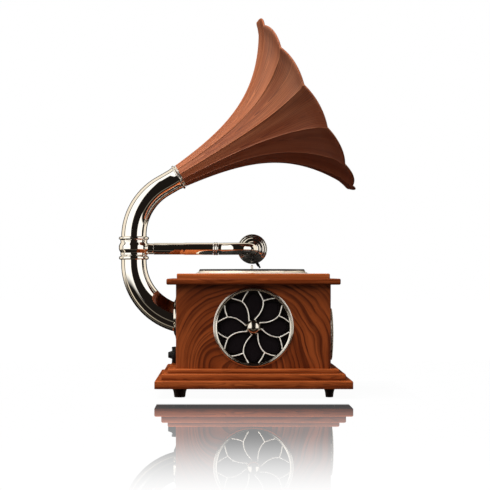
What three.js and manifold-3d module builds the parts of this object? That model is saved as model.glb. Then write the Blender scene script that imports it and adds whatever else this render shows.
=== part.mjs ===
// A table-top horn loudspeaker in the shape of an old gramophone.
// Millimetres, Z up. X points to the front, Y away from the side that the photograph shows.
// The origin is the middle of the object's bounding box, on the floor.
import * as THREE from "three";
import { mergeVertices } from "three/addons/utils/BufferGeometryUtils.js";
import Module from "manifold-3d";

// General
const fit = 0.3; // gap between pieces that are let into one another
const runningGap = 0.3; // gap between pieces that turn on one another
const roundSides = 16; // facets round a small turned piece
const wideSides = 32; // facets round a large turned piece
const innerSides = 12; // facets round a piece that is thin or that the cabinet hides
const through = 1; // by which a cutting tool passes a surface
const curveSteps = 3; // facets of a small rounded edge

// Feet, from the floor to the underside of the plinth
const footHeight = 9.7;
const rearFootTop = 15.6;
const rearFootBottom = 11.1;
const frontFootTop = 11.2;
const frontFootBottom = 6.9;
const footInset = 24; // from the plinth's edge to the foot's centre
const footDowelDiameter = 5;
const footDowelLength = 5;
const footWaist = 0.93; // of the mean of the foot's two radii
const footWaistHeight = 0.55; // of the foot's height

// Plinth, three square boards of falling width
const plinthWidth = 200;
const plinthThickness = 8.3;
const stepWidth = 186.5;
const stepThickness = 6.7;
const capWidth = 174.1;
const capThickness = 4.6;
const boardRound = 2.5; // height of the rounding along a board's upper edge
const boardRoundDepth = 3.2; // how far that rounding comes in
const boardSteps = 4;

// Cabinet
const cabinetWidth = 157.8;
const cabinetHeight = 85.3;
const wallThickness = 9;
const cornerRound = 1.6;
const topBoardWidth = 176.6;
const topBoardThickness = 6.2;
const topPadWidth = 156.1;
const topPadThickness = 5.2;
const topPadRound = 1.6;
const topEdgeSteps = 8;

// Platter
const platterDiameter = 119;
const platterTopDiameter = 112.4;
const platterThickness = 2.5;
const matThickness = 1.9;
const spindleDiameter = 6;
const spindlePinDiameter = 2.6;
const spindlePinHeight = 4.4;
const spindleShoulderDiameter = 16;
const spindleShoulderThickness = 1;
const bushFlangeDiameter = 20;
const bushFlangeThickness = 2;
const bushWall = 2.4;
const bushDrop = 1.6; // of the bush's lower end below the top board
const clipThickness = 1;
const clipDiameter = 11;
const clipGrooveDepth = 0.8;
const spindleTail = 2; // below the clip
const pinTipProfile = [[0.7, 0.8], [0.4, 1]]; // shares of the pin's radius and height

// Side grilles, the same on both long sides
const grilleMargin = 1.65; // from the wall's edges, with the grille halfway up
const grilleDrop = 0.55; // of the grille's middle below the wall's
const grilleRimWidth = 3.9;
const grilleProud = 3;
const grillePlate = 2.4;
const grillePetals = 8;
const grilleBevel = 0.55;
const grilleRimProfile = [[0, 0.4], [0.25, 1], [0.6, 1], [1, 0.4]]; // shares inwards and outwards
const grilleRoot = 1.2; // by which the rim and the boss reach into the plate
const grilleBossDiameter = 13.2;
const bossFoot = 0.8; // of the boss's radius
const bossLift = 0.3; // of its radius, from the plate to the ball's middle
const bossSteps = 4;
const leafSteps = 3; // facets of each of a leaf's curves
const plateSteps = 12;
const clothThickness = 0.4;
const rebateMargin = 1.4; // by which the rim overlaps the wood round its recess

// Side drivers
const cutoutInset = 7; // from the grille's edge to the driver's cutout
const driverFlangeWidth = 4.5;
const driverFlangeThickness = 2;
const driverDepth = 22;
const driverMagnetDiameter = 34;
const driverMagnetThickness = 10;
const magnetCapThickness = 3;
const magnetCapInset = 2;
const basketInset = 2; // from the cutout's edge to the basket's mouth
const basketNeckWidth = 2; // by which the basket's neck is wider than the magnet
const basketSheet = 1.5;
const coilInset = 1;
const surroundFront = [[1.2, -1], [1.2, 0], [4, 0.8], [7, -0.8]]; // inwards, and out of the wall
const surroundBack = [[6.5, -1.8], [4, -0.2]];
const coneRoot = 7; // from the basket's floor to the cone's inner edge
const coneSheet = 1;
const dustCapRise = 3;

// Front grille and its small driver
const frontGrilleDiameter = 55.5;
const frontGrilleGap = 4.45; // from the plinth to the grille's lower edge
const frontGrilleProud = 8.2;
const frontGrilleRim = 4.2;
const guardEdge = 0.35; // height of the guard's straight edge, as a share
const guardShoulderIn = 1.6;
const guardShoulder = 0.72;
const guardInnerEdge = 0.9;
const guardCrown = 0.45; // of the guard's radius, where its middle is flat
const guardSheet = 1.2;
const guardSides = 24;
const guardSlots = [[9, 4], [17.5, 6]]; // radius and number of the slots in each row
const slotWidth = 4.4;
const slotSpacing = 3.2;
const slotDepth = 6;
const slotStart = 4; // below the guard's crown
const slotSteps = 2;
const frontCutout = 34;
const frontDriverFlange = 46;
const frontDriverFlangeThickness = 2;
const frontDriverDepth = 12;
const frontDriverNeck = 8;
const frontDomeProfile = [[3, 0], [5, -0.8], [9, 2.4]]; // inwards from the mouth, out of the wall
const frontDomeRise = 3.2;
const frontDomeSheet = 1;
const frontDomeEdge = 0.6; // from the flange's face in to the dome's edge
const frontMagnetDiameter = 28;
const frontMagnetThickness = 7;

// Tube line: a bent tube out of the rear wall, a swivel, and a bent tube up to the horn
const tubeDiameter = 27;
const tubeWall = 1.4;
const lowerTubeEnd = 31;
const tubeEndLift = 47.9; // of the lower tube's inner end above the plinth
const tubeInside = 5.15; // from the rear wall's inner face to the tube's inner end
const lowerRise = 7.1; // of the upright end above the bend
const upperTubeAtHorn = 23.8;
const upperBendRadius = 61.9;
const upperRise = 0.1;
const hornTilt = 30; // degrees above level
const upperStraight = 17.9;
const upperFlareStart = 0.8; // of the straight length
const upperFlare = 0.5; // by which the tube's end widens
const elbowFlangeDiameter = 42;
const escutcheonDiameter = 50.8;
const escutcheonProud = 4.6;
const escutcheonEdge = 0.6;
const escutcheonRound = [2, 1.2]; // inwards and outwards
const escutcheonProfile = [[0.72, 0.72], [0.5, 1]]; // shares of its radius and of its height
const tubeSides = 14;
const bendSteps = 8;

// Swivel
const spigotDiameter = 19.4;
const spigotBore = 15.4;
const seatDepth = 2; // by which the tube's upright end reaches into the lower bead
const lowerBeadHeight = 4.6;
const lowerBeadDiameter = 31.6;
const lowerBeadProfile = [[1.2, 0], [0, 0.33], [0, 0.59], [1.2, 0.87], [1.8, 1]]; // inwards, and a share up
const sleeveHeight = 16;
const sleeveBelowArm = 6.7; // from the arm's axis down to the sleeve's lower end
const sleeveDiameter = 30.5;
const sleeveNeckDiameter = 28.6;
const sleeveNeckCut = 0.3;
const sleeveNeckHeight = 1.6;
const sleeveBarrel = 0.32; // half the barrel's height, as a share of the sleeve's
const barrelSteps = 6;
const upperBeadDiameter = 32.1;
const upperBeadHeight = 3.4;
const upperBeadProfile = [[1.6, 0], [0, 0.35], [0, 0.65], [1.2, 1]]; // inwards, and a share up
const upperBushLength = 6;

// Tonearm
const stubDiameter = 11.6;
const stubLength = 20.85; // from the swivel's axis
const stubPinLength = 8;
const armDiameter = 12.9;
const armStep = 0.3; // by which the tube's rear end is thinner
const armStepLength = 16;
const armBore = 9.4;
const headReach = 42.3; // from the arm tube's end to the sound box's middle
const collarLength = 5.2;
const collarPinLength = 8;
const pinWall = 1.4;
const collarDiameter = 13.6;
const collarRound = [0.6, 1.2]; // inwards and lengthwise
const gooseneckDiameter = 12.9;
const gooseneckBend = 9;
const gooseneckSteps = 5;
const soundboxX = 0.8;
const soundboxDiameter = 32.2;
const soundboxDepth = 9;
const soundboxProfile = [
  [0.463, 0], [0.525, 0.156], [0.702, 0.222], [0.739, 0.333], [0.851, 0.356], [0.876, 0.489],
  [0.969, 0.522], [1, 0.6], [1, 0.933], [0.969, 1],
]; // shares of the sound box's radius and depth
const soundboxRecess = 0.888; // of its radius
const recessFloor = 5.6;
const floorSlope = [[0.727, 5], [0, 4]]; // share of the radius, and height
const diaphragmThickness = 0.6;
const diaphragmDish = 0.2;
const retainerWidth = 2.5;
const retainerRound = 1.2;
const retainerProud = 0.4;
const needleLength = 7.4;
const needleLean = 34; // degrees from upright
const needleGap = 0.51; // from the needle's tip to the mat
const needleInset = 1.6; // from the sound box's rim to the needle's upper end
const needleSide = 4.6;
const needleBarDiameter = 2;
const needlePostDiameter = 2.6;

// Horn
const hornPetals = 13;
const hornLength = 155.9;
const throatStep = 0.4; // by which the horn's throat is narrower than the tube
const hornMouthDiameter = 205.6;
const hornFlareLength = 45;
const hornConeSlope = 0.046; // of an even widening under the flare
const hornWall = 1.5;
const petalRise = 2.1; // of a petal's middle over the seams, at the mouth
const petalReach = 2.1; // of a petal's rim past the seams, along the axis
const petalReachPower = 8;
const petalRiseStart = 0.3; // share of the length where the petals begin to stand out
const rimBead = 0.9;
const rimBeadLength = 2.3;
const ringDiameter = 26.6;
const ringThickness = 4.2;
const ringProfile = [[1, 0], [0, 0.3], [0, 0.7], [1, 1]]; // inwards, and a share of the thickness
const nippleLength = 7;
const nippleWall = 1.4;
const nippleGap = 1; // round the nipple in the tube
const petalSteps = 4;
const hornSteps = 8;
const mouthCrowding = 1.35; // above 1 the horn's rings stand closer towards the mouth

// Controls and connection on the rear wall
const knobGap = 1.4; // from the plinth to the knob's skirt
const knobSkirtDiameter = 17.2;
const knobTipDiameter = 5.8;
const knobLength = 10.4;
const knobProfile = [[0, 2.2], [0.8, 3.2], [2.6, 3.8], [3.8, 5.6]]; // inwards from the skirt, and height
const knobTipRound = [0.6, 1.2]; // outwards and downwards from the tip
const knobCap = 2.6; // thickness over the shaft
const controlDiameter = 15;
const controlDepth = 9;
const controlFloor = 3;
const controlShaftDiameter = 4;
const controlBushDiameter = 7;
const inletOffset = 42;
const inletDiameter = 9;
const inletSocket = 6.4;
const inletDepth = 11;
const inletBezel = 12;
const inletBezelThickness = 0.8;
const inletBezelRound = 0.4;
const inletFloor = 1.5;

// Horn driver, on the inner end of the lower tube
const hornDriverDiameter = 42;
const hornDriverDepth = 16;
const hornDriverCapDiameter = 30;
const hornDriverCapDepth = 7;
const hornDriverPlate = 3;
const hornDriverHollow = 6;

// Amplifier
const amplifierLength = 70;
const amplifierWidth = 46;
const amplifierLift = 6;
const boardThickness = 1.6;
const boardPartHeight = 9;
const heatSinkLength = 26;
const heatSinkWidth = 12;
const heatSinkEnd = 4; // from the board's end
const heatSinkEdge = 14; // from the board's edge to the sink's far side
const partSeat = 0.6; // by which the parts are let into the board
const capacitorDiameter = 8;
const capacitorPlaces = [2, 14, 26];
const bracketThickness = 1.2;

const degrees = Math.PI / 180;
const wasm = await Module();
wasm.setup();

// Finishes
const finish = {
  wood: [0x7a3a1c, 0.45, 0],
  darkWood: [0x2a150c, 0.5, 0],
  horn: [0x8a4a30, 0.4, 0],
  chrome: [0xc9bda6, 0.12, 1],
  darkChrome: [0x3b3430, 0.3, 1],
  black: [0x0c0b0b, 0.4, 0],
  cloth: [0x0d0b0a, 0.95, 0],
  steel: [0x8f9093, 0.35, 1],
  brass: [0xb08d4c, 0.35, 1],
  ferrite: [0x2c2c2e, 0.7, 0],
  paper: [0x1a1918, 0.9, 0],
  board: [0x1f4a2c, 0.6, 0],
};

function mesh(name, geometry, finishName) {
  const [color, roughness, metalness] = finish[finishName];
  const material = new THREE.MeshStandardMaterial({ color, roughness, metalness });
  const made = new THREE.Mesh(geometry, material);
  made.name = name;
  return made;
}

function solidOf(geometry) {
  const bare = new THREE.BufferGeometry();
  bare.setAttribute("position", geometry.getAttribute("position"));
  bare.setIndex(geometry.index);
  const merged = mergeVertices(bare, 1e-4);
  const corners = merged.index.array;
  const kept = [];
  for (let i = 0; i < corners.length; i += 3) {
    const [a, b, c] = [corners[i], corners[i + 1], corners[i + 2]];
    if (a !== b && b !== c && c !== a) kept.push(a, b, c);
  }
  const vertProperties = merged.getAttribute("position").array;
  return new wasm.Manifold(new wasm.Mesh({ numProp: 3, vertProperties, triVerts: new Uint32Array(kept) }));
}

function geometryOf(solid) {
  const data = solid.getMesh();
  const geometry = new THREE.BufferGeometry();
  geometry.setAttribute("position", new THREE.BufferAttribute(data.vertProperties, 3));
  geometry.setIndex(new THREE.BufferAttribute(data.triVerts, 1));
  geometry.computeVertexNormals();
  return geometry;
}

function cut(geometry, ...tools) {
  return geometryOf(tools.reduce((left, tool) => left.subtract(solidOf(tool)), solidOf(geometry)));
}

function join(...geometries) {
  return geometryOf(geometries.map(solidOf).reduce((sum, next) => sum.add(next)));
}

// A piece turned about the Z axis. The profile is a closed outline of [radius, height] points.
function turned(profile, sides = roundSides) {
  let area = 0;
  profile.forEach(([r0, z0], i) => {
    const [r1, z1] = profile[(i + 1) % profile.length];
    area += r0 * z1 - r1 * z0;
  });
  const ordered = area > 0 ? [...profile] : [...profile].reverse();
  ordered.push(ordered[0]);
  const points = ordered.map(([r, z]) => new THREE.Vector2(r, z));
  const geometry = new THREE.LatheGeometry(points, sides);
  geometry.rotateX(Math.PI / 2);
  return geometryOf(solidOf(geometry));
}

function arcPoints(cx, cz, rx, rz, from, to, steps) {
  return Array.from({ length: steps + 1 }, (_, i) => {
    const angle = (from + ((to - from) * i) / steps) * degrees;
    return [cx + rx * Math.cos(angle), cz + rz * Math.sin(angle)];
  });
}

// A square board with the given edge outline, mitred at its corners.
function squareBoard(outline) {
  const closed = [[0, outline[0][1]], ...outline, [0, outline.at(-1)[1]]];
  const points = closed.map(([half, z]) => new THREE.Vector2(half * Math.SQRT2, z));
  const geometry = new THREE.LatheGeometry(points, 4, Math.PI / 4);
  geometry.rotateX(Math.PI / 2);
  return geometryOf(solidOf(geometry));
}

function steppedBoard(width, bottom, thickness) {
  const half = width / 2;
  const top = bottom + thickness;
  return squareBoard([
    [half, bottom],
    ...arcPoints(half - boardRoundDepth, top - boardRound, boardRoundDepth, boardRound, 0, 90, boardSteps),
  ]);
}

// Skins a list of rings of points. A closed loft joins its last ring to its first.
function loft(rings, closed) {
  const count = rings[0].length;
  const points = rings.flat();
  const index = [];
  const last = closed ? rings.length : rings.length - 1;
  for (let i = 0; i < last; i++) {
    const next = (i + 1) % rings.length;
    for (let j = 0; j < count; j++) {
      const k = (j + 1) % count;
      const [a, b, c, d] = [i * count + j, i * count + k, next * count + k, next * count + j];
      index.push(a, b, c, a, c, d);
    }
  }
  if (!closed) {
    const end = (rings.length - 1) * count;
    for (let j = 1; j < count - 1; j++) {
      index.push(0, j + 1, j);
      index.push(end, end + j, end + j + 1);
    }
  }
  const geometry = new THREE.BufferGeometry().setFromPoints(points);
  geometry.setIndex(index);
  const solid = solidOf(geometry);
  if (solid.volume() > 0) return geometryOf(solid);
  for (let i = 0; i < index.length; i += 3) [index[i + 1], index[i + 2]] = [index[i + 2], index[i + 1]];
  geometry.setIndex(index);
  return geometryOf(solidOf(geometry));
}

// Rings round a path in the XZ plane. Each station is {x, z, angle, radius}, angle being the heading.
function pathRings(stations, change) {
  return stations.map(({ x, z, angle, radius }) =>
    Array.from({ length: tubeSides }, (_, i) => {
      const turn = (2 * Math.PI * i) / tubeSides;
      const across = (radius + change) * Math.cos(turn);
      return new THREE.Vector3(
        x - across * Math.sin(angle),
        (radius + change) * Math.sin(turn),
        z + across * Math.cos(angle),
      );
    }),
  );
}

function hollowTube(stations, wall) {
  return loft([...pathRings(stations, 0), ...pathRings(stations, -wall).reverse()], true);
}

function solidTube(stations, change) {
  return loft(pathRings(stations, change), false);
}

function box(x0, x1, y0, y1, z0, z1) {
  const geometry = new THREE.BoxGeometry(x1 - x0, y1 - y0, z1 - z0);
  geometry.translate((x0 + x1) / 2, (y0 + y1) / 2, (z0 + z1) / 2);
  return geometry;
}

function rod(diameter, from, to, sides = roundSides) {
  return turned([[0, from], [diameter / 2, from], [diameter / 2, to], [0, to]], sides);
}

function place(geometry, x, y, z) {
  geometry.translate(x, y, z);
  return geometry;
}

// Levels of the stack
const plinthTop = footHeight + plinthThickness;
const stepTop = plinthTop + stepThickness;
const wallBottom = stepTop + capThickness;
const wallTop = wallBottom + cabinetHeight;
const topBoardTop = wallTop + topBoardThickness;
const topPadTop = topBoardTop + topPadThickness;
const platterBottom = topPadTop + runningGap;
const platterTop = platterBottom + platterThickness;
const matTop = platterTop + matThickness;
const half = cabinetWidth / 2;
const inner = half - wallThickness;
const quarter = Math.PI / 2;
const grilleDiameter = cabinetHeight - 2 * grilleMargin;
const grilleHeight = wallBottom + cabinetHeight / 2 - grilleDrop;
const driverCutout = grilleDiameter - 2 * cutoutInset;
const driverFlange = driverCutout + 2 * driverFlangeWidth;
const frontGrilleHeight = wallBottom + frontGrilleGap + frontGrilleDiameter / 2;
const knobHeight = wallBottom + knobGap + knobSkirtDiameter / 2;
const hornThroatDiameter = upperTubeAtHorn - throatStep;

// The arm's height puts the needle just over the mat, and the swivel follows the arm
const lean = needleLean * degrees;
const needleDrop = needleLength * Math.cos(lean) + (needleBarDiameter / 2) * Math.sin(lean);
const armHeight = matTop + needleGap + needleDrop + soundboxDiameter / 2 - needleInset;
const sleeveBottom = armHeight - sleeveBelowArm;
const sleeveTop = sleeveBottom + sleeveHeight;
const lowerBeadTop = sleeveBottom - runningGap;
const lowerBeadBottom = lowerBeadTop - lowerBeadHeight;
const upperBeadBottom = sleeveTop + runningGap;
const upperBeadTop = upperBeadBottom + upperBeadHeight;
const lowerBendHeight = lowerBeadTop - lowerRise;
const upperBendHeight = upperBeadTop + upperRise;
const tubeEndHeight = wallBottom + tubeEndLift;
const lowerBendRadius = lowerBendHeight - tubeEndHeight;
const lowerCentreX = tubeInside - inner;
const couplerX = lowerCentreX - lowerBendRadius;

const part = new THREE.Group();
const cabinet = new THREE.Group();
part.add(cabinet);

// A group on one wall, its Z axis pointing out of the wall and its Y axis up.
function wallGroup(turn, height, along = 0) {
  const group = new THREE.Group();
  group.rotation.set(quarter, turn, 0);
  const out = new THREE.Vector3(0, 0, half).applyEuler(group.rotation);
  const side = new THREE.Vector3(along, 0, 0).applyEuler(group.rotation);
  group.position.copy(out).add(side);
  group.position.z = height;
  cabinet.add(group);
  return group;
}

// Feet with a dowel let into the plinth
function foot(name, x, y, top, bottom) {
  const waist = (footWaist * (top + bottom)) / 4;
  const made = turned(
    [
      [0, 0],
      [bottom / 2, 0],
      [waist, footHeight * footWaistHeight],
      [top / 2, footHeight],
      [footDowelDiameter / 2, footHeight],
      [footDowelDiameter / 2, footHeight + footDowelLength],
      [0, footHeight + footDowelLength],
    ],
    innerSides,
  );
  cabinet.add(mesh(name, place(made, x, y, 0), "darkWood"));
}

const footPlace = plinthWidth / 2 - footInset;
const dowelHoles = [];
for (const [side, y] of [["near", -footPlace], ["far", footPlace]]) {
  foot(`rear_${side}_foot`, -footPlace, y, rearFootTop, rearFootBottom);
  foot(`front_${side}_foot`, footPlace, y, frontFootTop, frontFootBottom);
  for (const x of [-footPlace, footPlace]) {
    const holeTop = footHeight + footDowelLength + fit;
    const hole = rod(footDowelDiameter + 2 * fit, footHeight - through, holeTop, innerSides);
    dowelHoles.push(place(hole, x, y, 0));
  }
}

// Plinth
const plinthBoard = steppedBoard(plinthWidth, footHeight, plinthThickness);
cabinet.add(mesh("plinth_board", cut(plinthBoard, ...dowelHoles), "wood"));
cabinet.add(mesh("plinth_step", steppedBoard(stepWidth, plinthTop, stepThickness), "wood"));
cabinet.add(mesh("plinth_cap", steppedBoard(capWidth, stepTop, capThickness), "wood"));

// Long walls, full width, with a recess for the grille and a hole for the driver
const rebateDepth = grillePlate + clothThickness + fit;
const rebateRadius = grilleDiameter / 2 - rebateMargin;

function longWall(name, side) {
  const plan = new THREE.Shape();
  const start = cornerRound;
  plan.moveTo(-half, wallThickness);
  plan.lineTo(-half, start);
  plan.absarc(-half + start, start, start, Math.PI, 1.5 * Math.PI, false);
  plan.lineTo(half - start, 0);
  plan.absarc(half - start, start, start, -quarter, 0, false);
  plan.lineTo(half, wallThickness);
  plan.closePath();
  const wall = new THREE.ExtrudeGeometry(plan, {
    depth: cabinetHeight,
    bevelEnabled: false,
    curveSegments: curveSteps,
  });
  const recess = rod(2 * rebateRadius, -through, rebateDepth, wideSides);
  const hole = rod(driverCutout, rebateDepth - through, wallThickness + through, wideSides);
  for (const tool of [recess, hole]) {
    tool.rotateX(-quarter);
    tool.translate(0, 0, grilleHeight - wallBottom);
  }
  const made = mesh(name, cut(wall, recess, hole), "wood");
  made.position.set(0, side * half, wallBottom);
  if (side > 0) made.rotation.z = Math.PI;
  cabinet.add(made);
}

longWall("near_wall", -1);
longWall("far_wall", 1);

// Short walls, between the long ones
const frontHole = rod(frontCutout, -through, wallThickness + through);
frontHole.rotateY(quarter);
frontHole.translate(inner, 0, frontGrilleHeight);
const frontWall = box(inner, half, -inner, inner, wallBottom, wallTop);
cabinet.add(mesh("front_wall", cut(frontWall, frontHole), "wood"));

// Lower tube: upright at the swivel, bent through the rear wall, level at its inner end
function bendStations(centreX, centreZ, radius, from, to, steps, radiusAt) {
  return Array.from({ length: steps + 1 }, (_, i) => {
    const share = i / steps;
    const turn = (from + (to - from) * share) * degrees;
    const heading = turn + (to > from ? quarter : -quarter);
    return {
      x: centreX + radius * Math.cos(turn),
      z: centreZ + radius * Math.sin(turn),
      angle: heading,
      radius: radiusAt(share),
    };
  });
}

const wallTurn = Math.acos((half + lowerCentreX) / lowerBendRadius) / degrees;
const lowerRadius = (share) => THREE.MathUtils.lerp(tubeDiameter, lowerTubeEnd, share) / 2;
const lowerSeat = lowerBeadTop - seatDepth;
const lowerStations = [
  { x: couplerX, z: lowerSeat, angle: -quarter, radius: tubeDiameter / 2 },
  ...bendStations(lowerCentreX, lowerBendHeight, lowerBendRadius, 180, 270, bendSteps, lowerRadius),
];
const flangeX = -inner + fit;
const flangeDisc = rod(elbowFlangeDiameter, flangeX, lowerCentreX);
flangeDisc.rotateY(quarter);
flangeDisc.translate(0, 0, tubeEndHeight);
const lowerBore = solidTube(
  [...lowerStations, { x: lowerCentreX + through, z: tubeEndHeight, angle: 0, radius: lowerTubeEnd / 2 }],
  -tubeWall,
);
const upperEndBore = rod(tubeDiameter - 2 * tubeWall, lowerSeat - through, lowerSeat + through, tubeSides);
upperEndBore.translate(couplerX, 0, 0);
const lowerTube = cut(join(solidTube(lowerStations, 0), flangeDisc), lowerBore, upperEndBore);
cabinet.add(mesh("lower_elbow", lowerTube, "chrome"));
const lowerClearance = solidTube(lowerStations, fit);

// Rear wall with holes for the tube, the volume control and the inlet
function rearHole(diameter, y, z) {
  const hole = rod(diameter, -through, wallThickness + through);
  hole.rotateY(quarter);
  return place(hole, -half, y, z);
}

const rearWall = box(-half, -inner, -inner, inner, wallBottom, wallTop);
const controlHole = rearHole(controlBushDiameter + 2 * fit, 0, knobHeight);
const inletHole = rearHole(inletDiameter + 2 * fit, -inletOffset, knobHeight);
cabinet.add(mesh("rear_wall", cut(rearWall, lowerClearance, controlHole, inletHole), "wood"));

// Domed plate round the tube
const escutcheonRadius = escutcheonDiameter / 2;
const dome = turned([
  [0, 0],
  [escutcheonRadius, 0],
  ...arcPoints(escutcheonRadius - escutcheonRound[0], escutcheonEdge, ...escutcheonRound, 0, 60, curveSteps),
  ...escutcheonProfile.map(([across, out]) => [escutcheonRadius * across, escutcheonProud * out]),
  [0, escutcheonProud],
]);
dome.rotateY(-quarter);
dome.translate(-half, 0, tubeEndHeight + lowerBendRadius * (1 - Math.sin(wallTurn * degrees)));
cabinet.add(mesh("escutcheon", cut(dome, lowerClearance), "chrome"));

// Top of the cabinet
const bushDiameter = spindleDiameter + 2 * runningGap + 2 * bushWall;
const bushHole = rod(bushDiameter + 2 * fit, wallTop - through, topPadTop + through);
const bushSeat = rod(bushFlangeDiameter + 2 * fit, topPadTop - bushFlangeThickness, topPadTop + through);
const topHalf = topBoardWidth / 2;
const edgeRound = topBoardThickness / 2;
const topBoard = squareBoard([
  ...arcPoints(topHalf - edgeRound, wallTop + edgeRound, edgeRound, edgeRound, -90, 90, topEdgeSteps),
]);
cabinet.add(mesh("top_board", cut(topBoard, bushHole), "wood"));
const padHalf = topPadWidth / 2;
const topPad = squareBoard([
  [padHalf, topBoardTop],
  ...arcPoints(padHalf - topPadRound, topPadTop - topPadRound, topPadRound, topPadRound, 0, 90, curveSteps),
]);
cabinet.add(mesh("top_pad", cut(topPad, bushHole, bushSeat), "wood"));

// Platter, its bearing and its spindle
const spindleRadius = spindleDiameter / 2;
const pinRadius = spindlePinDiameter / 2;
const bushBottom = wallTop - bushDrop;
const clipTop = bushBottom - runningGap;
const bushBore = spindleRadius + runningGap;
cabinet.add(
  mesh(
    "platter_bush",
    turned([
      [bushBore, bushBottom],
      [bushDiameter / 2, bushBottom],
      [bushDiameter / 2, topPadTop - bushFlangeThickness],
      [bushFlangeDiameter / 2, topPadTop - bushFlangeThickness],
      [bushFlangeDiameter / 2, topPadTop],
      [bushBore, topPadTop],
    ]),
    "brass",
  ),
);

const platter = new THREE.Group();
part.add(platter);
const shoulderTop = platterBottom + spindleShoulderThickness;
const platterRadius = platterDiameter / 2;
const platterTopRadius = platterTopDiameter / 2;
const fullThickness = platterThickness + matThickness;
const rimTop = THREE.MathUtils.lerp(platterRadius, platterTopRadius, platterThickness / fullThickness);
platter.add(
  mesh(
    "platter",
    turned(
      [
        [spindleShoulderDiameter / 2 + fit, platterBottom],
        [platterRadius, platterBottom],
        [rimTop, platterTop],
        [spindleRadius + fit, platterTop],
        [spindleRadius + fit, shoulderTop + fit],
        [spindleShoulderDiameter / 2 + fit, shoulderTop + fit],
      ],
      wideSides,
    ),
    "chrome",
  ),
);
platter.add(
  mesh(
    "platter_mat",
    turned(
      [
        [pinRadius + fit, platterTop],
        [rimTop, platterTop],
        [platterTopRadius, matTop],
        [pinRadius + fit, matTop],
      ],
      wideSides,
    ),
    "black",
  ),
);
const spindleBottom = clipTop - clipThickness - fit - spindleTail;
platter.add(
  mesh(
    "spindle",
    turned([
      [0, spindleBottom],
      [spindleRadius, spindleBottom],
      [spindleRadius, clipTop - clipThickness - fit],
      [spindleRadius - clipGrooveDepth, clipTop - clipThickness - fit],
      [spindleRadius - clipGrooveDepth, clipTop + fit],
      [spindleRadius, clipTop + fit],
      [spindleRadius, platterBottom],
      [spindleShoulderDiameter / 2, platterBottom],
      [spindleShoulderDiameter / 2, shoulderTop],
      [spindleRadius, shoulderTop],
      [spindleRadius, platterTop - fit],
      [pinRadius, platterTop - fit],
      [pinRadius, matTop],
      ...pinTipProfile.map(([across, up]) => [pinRadius * across, matTop + spindlePinHeight * up]),
      [0, matTop + spindlePinHeight],
    ]),
    "chrome",
  ),
);
const clipBore = spindleRadius - clipGrooveDepth + fit;
platter.add(
  mesh(
    "spindle_clip",
    turned([
      [clipBore, clipTop - clipThickness],
      [clipDiameter / 2, clipTop - clipThickness],
      [clipDiameter / 2, clipTop],
      [clipBore, clipTop],
    ]),
    "steel",
  ),
);

// Side grille: a rim, eight leaf-shaped openings with small spandrels between them, and a boss.
// The leaf is in shares of the opening's radius, and the spandrel in a share and an angle.
const leafOutline = new THREE.Path();
leafOutline.moveTo(0.955, 0);
leafOutline.bezierCurveTo(0.9, 0.1, 0.81, 0.235, 0.7, 0.225);
leafOutline.bezierCurveTo(0.57, 0.215, 0.47, 0.07, 0.24, 0.085);
leafOutline.lineTo(0.215, 0.02);
leafOutline.bezierCurveTo(0.32, -0.07, 0.43, -0.23, 0.6, -0.235);
leafOutline.bezierCurveTo(0.77, -0.24, 0.9, -0.12, 0.955, 0);
const leaf = leafOutline.getPoints(leafSteps).slice(0, -1);
const spandrel = [[0.945, -0.165], [0.945, 0.165], [0.875, 0.05], [0.8, 0], [0.875, -0.05]];

function rosette(openRadius) {
  const shape = new THREE.Shape();
  shape.absarc(0, 0, rebateRadius - fit, 0, 2 * Math.PI, false);
  const turnBy = (points, angle) =>
    points.map(({ x, y }) =>
      new THREE.Vector2(x, y).multiplyScalar(openRadius).rotateAround(new THREE.Vector2(), angle),
    );
  const spandrelPoints = spandrel.map(([radius, angle]) => ({
    x: radius * Math.cos(angle),
    y: radius * Math.sin(angle),
  }));
  for (let i = 0; i < grillePetals; i++) {
    const turn = (2 * Math.PI * i) / grillePetals;
    shape.holes.push(new THREE.Path(turnBy(leaf, turn)));
    shape.holes.push(new THREE.Path(turnBy(spandrelPoints, turn + Math.PI / grillePetals)));
  }
  const plate = new THREE.ExtrudeGeometry(shape, {
    depth: grillePlate,
    bevelEnabled: true,
    bevelSegments: 1,
    bevelThickness: grilleBevel,
    bevelSize: grilleBevel,
    bevelOffset: -grilleBevel,
    curveSegments: plateSteps,
  });
  plate.translate(0, 0, -grilleBevel - grillePlate);
  const outer = grilleDiameter;
  return cut(plate, box(-outer, outer, -outer, outer, -2 * grillePlate, -grillePlate));
}

function sideGrille(side, turn) {
  const group = wallGroup(turn, grilleHeight);
  const outer = grilleDiameter / 2;
  const open = outer - grilleRimWidth;
  const rim = turned(
    [
      [open, -grilleRoot],
      [rebateRadius - fit, -grilleRoot],
      [rebateRadius - fit, fit],
      [outer, fit],
      ...grilleRimProfile.map(([inwards, out]) => [outer - grilleRimWidth * inwards, grilleProud * out]),
    ],
    wideSides,
  );
  const bossRadius = grilleBossDiameter / 2;
  const boss = turned([
    [0, -grilleRoot],
    [bossRadius * bossFoot, -grilleRoot],
    ...arcPoints(0, bossRadius * bossLift, bossRadius, bossRadius, -10, 90, bossSteps),
  ], innerSides);
  group.add(mesh(`${side}_grille`, join(rosette(open), rim, boss), "darkChrome"));
  const clothTop = -grillePlate - fit / 2;
  const cloth = rod(2 * (rebateRadius - fit), clothTop - clothThickness, clothTop, wideSides);
  group.add(mesh(`${side}_grille_cloth`, cloth, "cloth"));
  addDriver(group, `${side}_driver`);
}

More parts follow.
